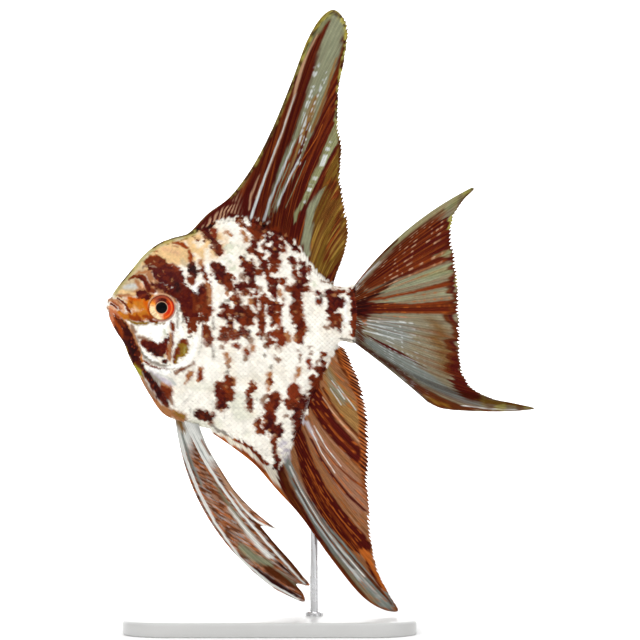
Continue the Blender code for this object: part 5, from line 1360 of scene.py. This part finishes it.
def caudal_tones(x, z, across, t, run):
    """Warm grey membrane with the stripes of the tail, beaded pale lines along the rays in its dark upper
    part, mottles on its trailing points and a combed border."""
    paint = Paint(x, FIN_TONES, "ash")
    lay_stripes(paint, x, z, CAUDAL_STRIPES, across, 70)
    upper = step(2.2, 3.8, z - 0.37 * (x - 82)) * step(12.4, 10.4, z - 0.8 * (x - 80)) * step(105.5, 103, x)
    line = step(0.6, 0.95, wave(across * 52))
    beads = step(0.55, 0.75, mottle(np.round(across * 52), x * 1.3, 1.0, 62))
    paint.lay(0.6 * upper * strands(across, t, 100, 5.0, 63, 0.5, 0.8), "brown")
    paint.lay(0.28 * upper * line, "orange")
    paint.lay(0.8 * upper * line * beads, "peach")
    middle = step(4.6, 3.6, np.abs(z - 0.1 * (x - 90) + 0.4)) * step(79, 84, x) * step(107, 105, x)
    paint.lay(0.55 * middle * line * (0.3 + 0.7 * beads), "orange")
    points = np.maximum(step(105, 112, x) * step(10, 20, z), step(114, 120, x) * step(-10, -20, z))
    paint.lay(0.6 * points * step(0.5, 0.7, mottle(x, z, 1.4, 64)), "umber")
    paint.lay(0.6 * points * step(0.5, 0.7, mottle(x, z, 1.7, 73)), "lime")
    lower = step(-3.4, -5, z)
    paint.lay(0.3 * lower * strands(across, t, 130, 2.0, 65, 0.5, 0.8) * step(94, 104, x), "umber")
    paint.lay(0.6 * lower * line * (0.1 + 0.9 * beads) * step(102, 90, x), "pearl")
    paint.lay(0.3 * strands(across, t, 170, 3.0, 80, 0.5, 0.8), "brown")
    margin = from_line(x, z, tips(CAUDAL_RAYS[1:15]))
    comb = step(0.3, 0.7, wave(run / 1.15))
    border = step(1.1, 0.4, margin) * step(103, 105, x) * step(116, 112, x)
    paint.lay(0.7 * border * comb, "umber")
    return edged(paint, margin, across, "umber", 0.6)


ANAL_STRIPES = (
    ("belly", 0.7, (33, -37.5, 2.2), (40, -41.6, 2.9), (46, -46.4, 3.2), (50.6, -52, 1.7), (53, -56, 0.4)),
    ("orange", 0.5, (33, -40.6, 0.3), (38, -43.8, 0.7), (45.4, -49.4, 1.1), (51.4, -56.6, 0.9),
     (57, -63, 0.6), (62, -69, 0.4)),
    ("brown", 0.4, (40, -44.4, 0.2), (44.6, -48, 0.4), (48.4, -52, 0.3)),
    ("brown", 0.5, (60, -66, 0.4), (66, -74, 0.7), (73, -83, 0.7), (79, -90.4, 0.5)),
    ("dark", 0.35, (51.4, -42, 1), (52.4, -49, 1.3), (54.6, -56, 1.3), (57.6, -61, 1.2), (62, -67.4, 0.9),
     (66, -73, 0.6), (70, -78, 0.4)),
    ("umber", 0.5, (53.6, -52, 0.6), (56, -58.6, 0.6), (60, -64.6, 0.4)),
    ("lilac", 0.7, (54.8, -45, 0.9), (56, -49, 0.7)),
    ("steel", 0.4, (55, -48, 0.9), (57, -53.4, 1.2), (59.8, -58.6, 1.5), (66, -68.6, 2.1),
     (72.4, -77.2, 2.4), (80, -86.2, 2.5), (86, -92.2, 2.4)),
    ("ash", 0.4, (70, -77.8, 0.3), (77, -86.4, 0.6), (83, -92.4, 0.7)),
    ("white", 0.22, (56, -50, 0.2), (59.4, -57.4, 0.2), (65.4, -67.4, 0.2), (72, -76, 0.2), (79, -84, 0.16)),
    ("umber", 0.2, (57, -54, 0.14), (62, -63.4, 0.18), (68.6, -73, 0.2), (76, -82, 0.22), (83, -89.6, 0.2)),
    ("pearl", 0.22, (58, -57.6, 0.2), (63.6, -67, 0.22), (70.4, -76.4, 0.25), (78, -85.6, 0.25)),
    ("umber", 0.2, (60, -57, 0.12), (67, -68.4, 0.16), (74.6, -77.4, 0.25), (82, -86, 0.4),
     (87.6, -92.6, 0.3)),
    ("umber", 0.25, (66, -73.4, 0.2), (73, -82.6, 0.3), (80, -91.4, 0.3)),
    ("white", 0.2, (76, -82, 0.15), (84, -91, 0.2)),
    ("dark", 0.4, (57.4, -36, 1.5), (59.2, -42, 2), (61.4, -50, 2.6), (64.8, -58.5, 3.1),
     (70.6, -66.6, 3.4), (76.4, -72.6, 3.4), (79, -75, 2.4)),
    ("brown", 0.4, (62, -52, 0.2), (67, -62, 0.3), (74, -71, 0.4), (79.6, -78, 0.4)),
    ("orange", 0.2, (61.6, -50, 0.08), (66, -58.6, 0.1), (72, -66.6, 0.12), (78, -73, 0.1)),
    ("orange", 0.2, (61, -54, 0.06), (65, -62, 0.1), (71, -70.6, 0.12), (77.6, -78, 0.12)),
    ("pink", 0.6, (62.6, -38, 1.3), (66.4, -45, 2.4), (70.6, -51, 3), (75, -56.6, 3.6), (78.8, -61, 3.6)),
    ("lilac", 0.6, (61.2, -36.2, 0.5), (62.6, -39.2, 0.4), (64, -41.6, 0.2)),
    ("dark", 0.3, (62.6, -41.6, 0.3), (65.4, -47.4, 0.4), (69.6, -53.6, 0.5), (74.4, -59.4, 0.5),
     (79.4, -63.8, 0.4)),
    ("brown", 0.25, (65.4, -43.6, 0.12), (70.4, -49.6, 0.2), (76, -54.6, 0.3), (79.6, -57, 0.3)),
    ("white", 0.2, (63.6, -37.6, 0.14), (67.4, -44.2, 0.14), (72, -50, 0.08)),
    ("white", 0.2, (62.8, -39, 0.1), (66, -46, 0.12), (70, -52, 0.08)),
    ("dark", 0.4, (63.4, -24, 1.6), (64.6, -31, 2.5), (68.2, -37, 2.5), (73.8, -43.2, 2.5),
     (78.6, -48, 2.3)),
    ("brown", 0.3, (65.6, -33, 0.3), (70, -39.4, 0.4), (76, -45.4, 0.5)),
    ("pink", 0.25, (64.2, -36, 0.1), (68.4, -41.6, 0.2), (74.6, -47.6, 0.25)),
    ("peach", 0.25, (66.2, -28.6, 0.15), (69.8, -34, 0.22), (74, -38.8, 0.25), (78.4, -43.2, 0.15)),
    ("tan", 0.7, (67.4, -19.6, 1.2), (70, -26.2, 2.4), (73.8, -32, 2.9), (77, -37, 2.3)),
    ("ash", 0.9, (67.6, -20.6, 0.6), (70, -26, 1.2), (73, -30, 1)),
    ("umber", 0.25, (66.6, -26, 0.4), (69, -30.8, 0.35), (72, -34.9, 0.35), (75, -38.4, 0.4),
     (78.2, -41.8, 0.4)),
    ("pearl", 0.22, (69, -23.4, 0.1), (73, -29.2, 0.14)),
    ("pearl", 0.2, (71, -25.2, 0.1), (76.6, -32.6, 0.12)), ("pearl", 0.2, (68.6, -26, 0.1), (72, -31, 0.1)),
    ("orange", 0.6, (70.6, -12.8, 0.8), (73.2, -17.4, 0.8), (76, -24, 0.6)),
    ("umber", 0.35, (70.2, -13.4, 0.6), (72, -18.6, 0.5), (74.8, -23.4, 0.6), (77.2, -28.8, 0.5)),
    ("orange", 0.5, (79.4, -77, 1.3), (81.4, -81.4, 1.1), (83.6, -85, 0.8), (86, -89.4, 0.4)),
    ("dark", 0.3, (79.6, -79.4, 0.4), (82, -84, 0.35), (84.6, -88, 0.3)),
)


def anal_tones(x, z, across, t, run):
    """Pinkish brown membrane with its stripes, strands along the rays and a combed border of dark and
    orange teeth."""
    paint = Paint(x, FIN_TONES, "clay")
    paint.lay(0.4 * strands(across, t, 150, 2.5, 71, 0.5, 0.8), "umber")
    paint.lay(0.2 * strands(across, t, 170, 3.0, 75, 0.6, 0.8), "peach")
    lay_stripes(paint, x, z, ANAL_STRIPES, across, 60, 2.0, 0.5)
    rays = across * 64
    glint = step(0.6, 0.95, wave(rays)) * step(0.4, 0.7, mottle(rays, z * 0.8, 1.0, 77))
    paint.lay(0.5 * glint * step(52, 58, x), "orange")
    margin = from_line(x, z, tips(ANAL_RAYS))
    comb = 1 - wave(run / 1.3)
    rear = step(54, 60, x + 0.5 * (z + 14)) * step(76, 78.4, x + 0.16 * (z + 50))
    border = step(3.2, 2.2, margin + 1.2 * (mottle(across * 90, 0 * x, 1.0, 72) - 0.5)) * rear
    paint.lay(0.8 * border, "orange")
    teeth = step(0.3, 0.6, comb + 0.5 * mottle(x, z, 3.0, 76) - 0.12 * margin)
    paint.lay(0.6 * border * (1 - teeth) * step(2.0, 0.5, margin), "peach")
    paint.lay(0.92 * border * teeth, "deep")
    return edged(paint, margin, across, "brown", 0.6)


FAR_PELVIC_STRIPES = (
    ("ash", 0.8, (33.6, -56, 0.6), (37.6, -62.4, 1), (41, -67.6, 1), (44, -72, 0.8)),
    ("smoke", 0.6, (33, -54, 0.4), (36, -58, 0.7), (40, -63, 0.6)),
    ("smoke", 0.5, (45, -68.4, 0.4), (50, -75, 0.5)),
    ("white", 0.6, (37, -63, 0.2), (41, -68.4, 0.4), (46, -74.6, 0.7), (50, -78.6, 0.8)),
    ("sage", 0.9, (41, -75.6, 1), (45, -78.6, 1.2), (50, -81, 0.8)),
    ("moss", 0.7, (50.6, -76.6, 0.6), (53, -78.6, 0.6)),
    ("deep", 0.6, (45.4, -82.6, 0.8), (51.4, -86.8, 1), (58, -90.8, 0.6)),
    ("umber", 0.6, (49.4, -82.4, 1.2), (54.6, -85.6, 1.2), (59.4, -88.8, 0.7)),
    ("deep", 0.4, (53, -80.2, 1), (57, -83.4, 1), (61, -86.6, 0.5)),
    ("ash", 0.4, (52, -82.4, 0.2), (58, -87.4, 0.3)),
    ("white", 0.14, (20.9, -36.7, 0.6), (23.4, -47, 0.55), (27.4, -57.4, 0.45), (32.6, -67.6, 0.4),
     (40.6, -79, 0.34), (50, -87, 0.36), (59, -92, 0.3)),
    ("steel", 0.4, (22.6, -40, 0.3), (25, -48, 0.4), (28.6, -56, 0.3)),
    ("tan", 0.8, (21.6, -36, 1.2), (23, -39, 0.8)),
)
NEAR_PELVIC_STRIPES = (
    ("peach", 0.5, (33.6, -50.6, 0.3), (38, -57.6, 0.6), (43, -63.6, 0.6)),
    ("umber", 0.4, (44, -65.6, 0.5), (49.6, -71.6, 0.6), (55, -78, 0.7), (60, -84, 0.4)),
    ("steel", 0.5, (25.4, -40, 0.5), (28.6, -46, 0.6), (31, -50, 0.3)),
    ("pink", 0.4, (28.8, -42, 0.3), (31.4, -46.4, 0.3)),
    ("white", 0.2, (37.6, -57.6, 0.1), (41.4, -62.6, 0.3), (44.6, -65.8, 0.35), (48.4, -68.2, 0.3),
     (52.2, -69.4, 0.25)),
    ("white", 0.14, (24.2, -37.6, 0.6), (28.4, -46, 0.5), (33.8, -54.6, 0.42), (41, -64.2, 0.36),
     (49.4, -73.8, 0.34), (56, -81, 0.3), (60.8, -86, 0.2)),
)


def pelvic_tones(stripes, bare):
    """Colours of a pelvic fin: a white front ray, orange and brown strands that leave it aslant, and dark
    tips. The strands start past the share bare of its length."""

    def tones(x, z, across, t, run):
        paint = Paint(x, FIN_TONES, "white")
        colored = step(bare, bare + 0.12, t)
        slant = 0.55 * x + z
        paint.lay(0.9 * colored, "clay")
        paint.lay(0.7 * colored * step(0.35, 0.7, mottle(slant, 0.2 * x, 0.45, 82)), "orange")
        paint.lay(0.85 * colored * step(0.35, 0.7, mottle(slant, 0.2 * x, 0.38, 83)), "umber")
        paint.lay(0.35 * colored * step(0.6, 0.8, mottle(slant, 0.2 * x, 0.4, 84)), "pearl")
        lay_stripes(paint, x, z, stripes, across, 22, 1.5, 0.3)
        return edged(paint, 9 + 0 * x, across, "umber")

    return tones


def clear_tones(x, z, across, t, run):
    """One colour, which the clear fin's finish doesn't read."""
    return Paint(x, {}, (226, 220, 204)).colors


def on_line(line, rays):
    """Roots at the rays' shares along a straight line."""
    start, end = np.array(line)
    return start + (end - start) * np.asarray(rays)[:, :1]


def splayed(roots, rays, side):
    """The sway of a pelvic fin, as in the part: it leaves the middle with the distance from its root."""
    reach = np.linalg.norm(rays[:, 1:3] - roots, axis=1)
    reach = reach / reach.max()
    return lambda s, t: side * (1.0 + 6.0 * (t * np.interp(s, np.linspace(0, 1, len(rays)), reach)) ** 0.8)


def all_fins(membrane, clear):
    """The seven fins, each with the part's own rays. How far a fin sways to the right depends on the share s
    of the way across it and the share t of the way out."""
    rays = np.array(DORSAL_RAYS)
    fin(
        "fin_dorsal", outline_point(rays[:, 0], 0.0), rays, lambda s, t: 1.3 * t**2 * np.sin(5 * s + 0.4),
        dorsal_tones, membrane, 400, 110, 58, lambda s: step(0.42, 0.5, s),
        sunk=1.2, bite=1.1, tooth=1.25, join=1.2,
    )
    rays = np.array(ANAL_RAYS)
    fin(
        "fin_anal", outline_point(rays[:, 0], 1.0), rays, lambda s, t: -(t**2) * (1 + 0.6 * np.sin(9 * s)),
        anal_tones, membrane, 400, 110, 54, lambda s: step(0.44, 0.5, s),
        sunk=1.2, bite=1.2, tooth=1.3, join=1.2,
    )
    rays = np.array(CAUDAL_RAYS)
    roots = np.stack([np.full(len(rays), CAUDAL_ROOT_X), rays[:, 0]], axis=1)
    fin(
        "fin_caudal", roots, rays, lambda s, t: t**2 * (1.2 + 0.9 * np.sin(11 * s)),
        caudal_tones, membrane, 380, 110, 46, lambda s: step(0.08, 0.14, s) * step(0.82, 0.7, s),
        sunk=0.8, join=0.6,
    )
    for word, side, line, rays, stripes, bare in (
        ("left", -1, PELVIC_LEFT_ROOT, PELVIC_LEFT_RAYS, NEAR_PELVIC_STRIPES, 0.17),
        ("right", 1, PELVIC_RIGHT_ROOT, PELVIC_RIGHT_RAYS, FAR_PELVIC_STRIPES, 0.07),
    ):
        rays = np.array(rays)
        roots = on_line(line, rays)
        fin(
            "fin_pelvic_" + word, roots, rays, splayed(roots, rays, side),
            pelvic_tones(stripes, bare), membrane, 90, 150, 12, np.zeros_like, sunk=1.5, thick=(1.4, 0.4),
        )
        rays = np.array(PECTORAL_RAYS)
        fin(
            "fin_pectoral_" + word, on_line(PECTORAL_ROOT, rays), rays,
            lambda s, t, side=side: side * (7.5 + 3.2 * t), clear_tones, clear, 110, 60, 13, np.ones_like,
            sunk=0.5, thick=(0.9, 0.25), bite=0.5, tooth=1.1,
        )


# ---------------------------------------------------------------- stand


def joined(name, rings, finish, node, crease):
    """Rings of points joined into a closed piece, whose edges are sharp where faces meet at crease degrees
    or more."""
    made = make(name, rings * MM, closed_rings(*rings.shape[:2]), finish, (node,))
    made.data.set_sharp_from_angle(angle=math.radians(crease))


def turned(name, center, profile, segments, steel):
    """A round piece of the rod: a profile of (radius, height) carried round an upright axis."""
    turn = np.linspace(0, 2 * np.pi, segments, endpoint=False)
    radius, height = np.array(profile).T[..., None]
    x, y = center[0] + radius * np.cos(turn), center[1] + radius * np.sin(turn)
    joined(name, np.stack([x, y, height + 0 * turn], axis=-1), steel, "stand_rod", 35)


def stand(plate, steel):
    """The plate: a rounded rectangle carried up a profile with eased edges. The rod: a plain turned bar with
    a small collar at its foot."""
    low, high = (np.array(corner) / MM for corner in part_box("stand_base"))
    half, thick, corner = (high - low)[:2] / 2, high[2], 14.0
    profile = (
        (-3.0, 0.0), (-0.5, 0.0), (-0.15, 0.12), (0, 0.45), (0, thick - 0.9), (-0.12, thick - 0.45),
        (-0.4, thick - 0.12), (-0.85, thick), (-3.0, thick),
    )
    grow, height = np.array(profile).T[..., None]
    turn = np.linspace(0, 2 * np.pi, 160, endpoint=False)
    circle = np.stack([np.cos(turn), np.sin(turn)])
    x, y = (np.sign(c) * (reach - corner) + (corner + grow) * c for c, reach in zip(circle, half))
    rings = np.stack([x, y, height + 0 * turn], axis=-1)
    joined("stand_base_plate", rings, plate, "stand_base", 50)
    low, high = (np.array(corner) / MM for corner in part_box("stand_rod"))
    center, radius = (low + high)[:2] / 2, (high - low)[0] / 2
    bar = ((radius, low[2]), (radius, high[2] - 0.2), (radius - 0.2, high[2]))
    turned("stand_rod_bar", center, bar, 48, steel)
    collar = (
        (radius + 1.5, thick - 0.3), (radius + 1.5, thick + 0.9), (radius + 1.25, thick + 1.2),
        (radius + 0.05, thick + 1.35),
    )
    turned("stand_rod_collar", center, collar, 64, steel)


# ---------------------------------------------------------------- studio

FRAME_HEIGHT = 0.1984  # metres that the camera's picture spans
MIDDLE = np.array([0.0154, 0.0, 0.0963])


def studio():
    """A white floor that curves up behind, soft lamps on both sides and above, and a long lens."""
    across = np.array([-3.0, 3.0])
    bend = np.linspace(0, np.pi / 2, 24)
    depth = np.concatenate([[-3.0], 1.2 + 0.8 * np.sin(bend), [2.0]])
    height = np.concatenate([[0.0], 0.8 - 0.8 * np.cos(bend), [3.4]])
    x, depth = np.meshgrid(across, depth)
    height = np.broadcast_to(height[:, None], x.shape)
    paper = Finish("white paper", Roughness=0.9)
    paper.cloudy((0.9, 0.9, 0.9), (0.93, 0.93, 0.93), 400.0)
    floor = make("floor", np.stack([x, depth, height], axis=-1), grid_faces(len(x), 2), paper.material)
    scene = bpy.context.scene
    scene.view_settings.view_transform = "Standard"
    world = bpy.data.worlds.new("studio")
    world.use_nodes = True
    background = world.node_tree.nodes["Background"]
    background.inputs["Color"].default_value = (1, 1, 1, 1)
    background.inputs["Strength"].default_value = 0.5
    scene.world = world
    wall = np.array([0.0, 2.0, 0.5])
    for name, where, target, size, power in (
        ("key", (-0.55, -1.0, 0.75), MIDDLE, 0.7, 7.0),
        ("fill", (0.9, -0.9, 0.35), MIDDLE, 0.9, 2.5),
        ("top", (0.1, -0.1, 1.3), MIDDLE, 0.8, 5.0),
        ("wall_left", (-0.9, 0.9, 1.0), wall, 1.2, 26.0),
        ("wall_right", (0.9, 0.9, 1.0), wall, 1.2, 26.0),
    ):
        light = bpy.data.lights.new(name, "AREA")
        light.shape, light.size, light.energy = "DISK", size, power
        lamp = bpy.data.objects.new(name, light)
        lamp.location = where
        aim = target - np.array(where)
        lamp.rotation_euler = (math.acos(-aim[2] / np.linalg.norm(aim)), 0, math.atan2(-aim[0], aim[1]))
        scene.collection.objects.link(lamp)
    lens = bpy.data.cameras.new("camera")
    lens.lens, lens.sensor_width = 200.0, 36.0
    camera = bpy.data.objects.new("camera", lens)
    distance = FRAME_HEIGHT * lens.lens / lens.sensor_width
    camera.location = (MIDDLE[0], -distance, MIDDLE[2])
    camera.rotation_euler = (math.pi / 2, 0, 0)
    scene.collection.objects.link(camera)
    scene.camera = camera


skin(skin_finish())
coat(scale_finish())
eyes = eye_finish()
eye("left", -1, eyes)
eye("right", 1, eyes)
all_fins(fin_finish(), clear_fin_finish())
stand(plate_finish(), steel_finish())
studio()
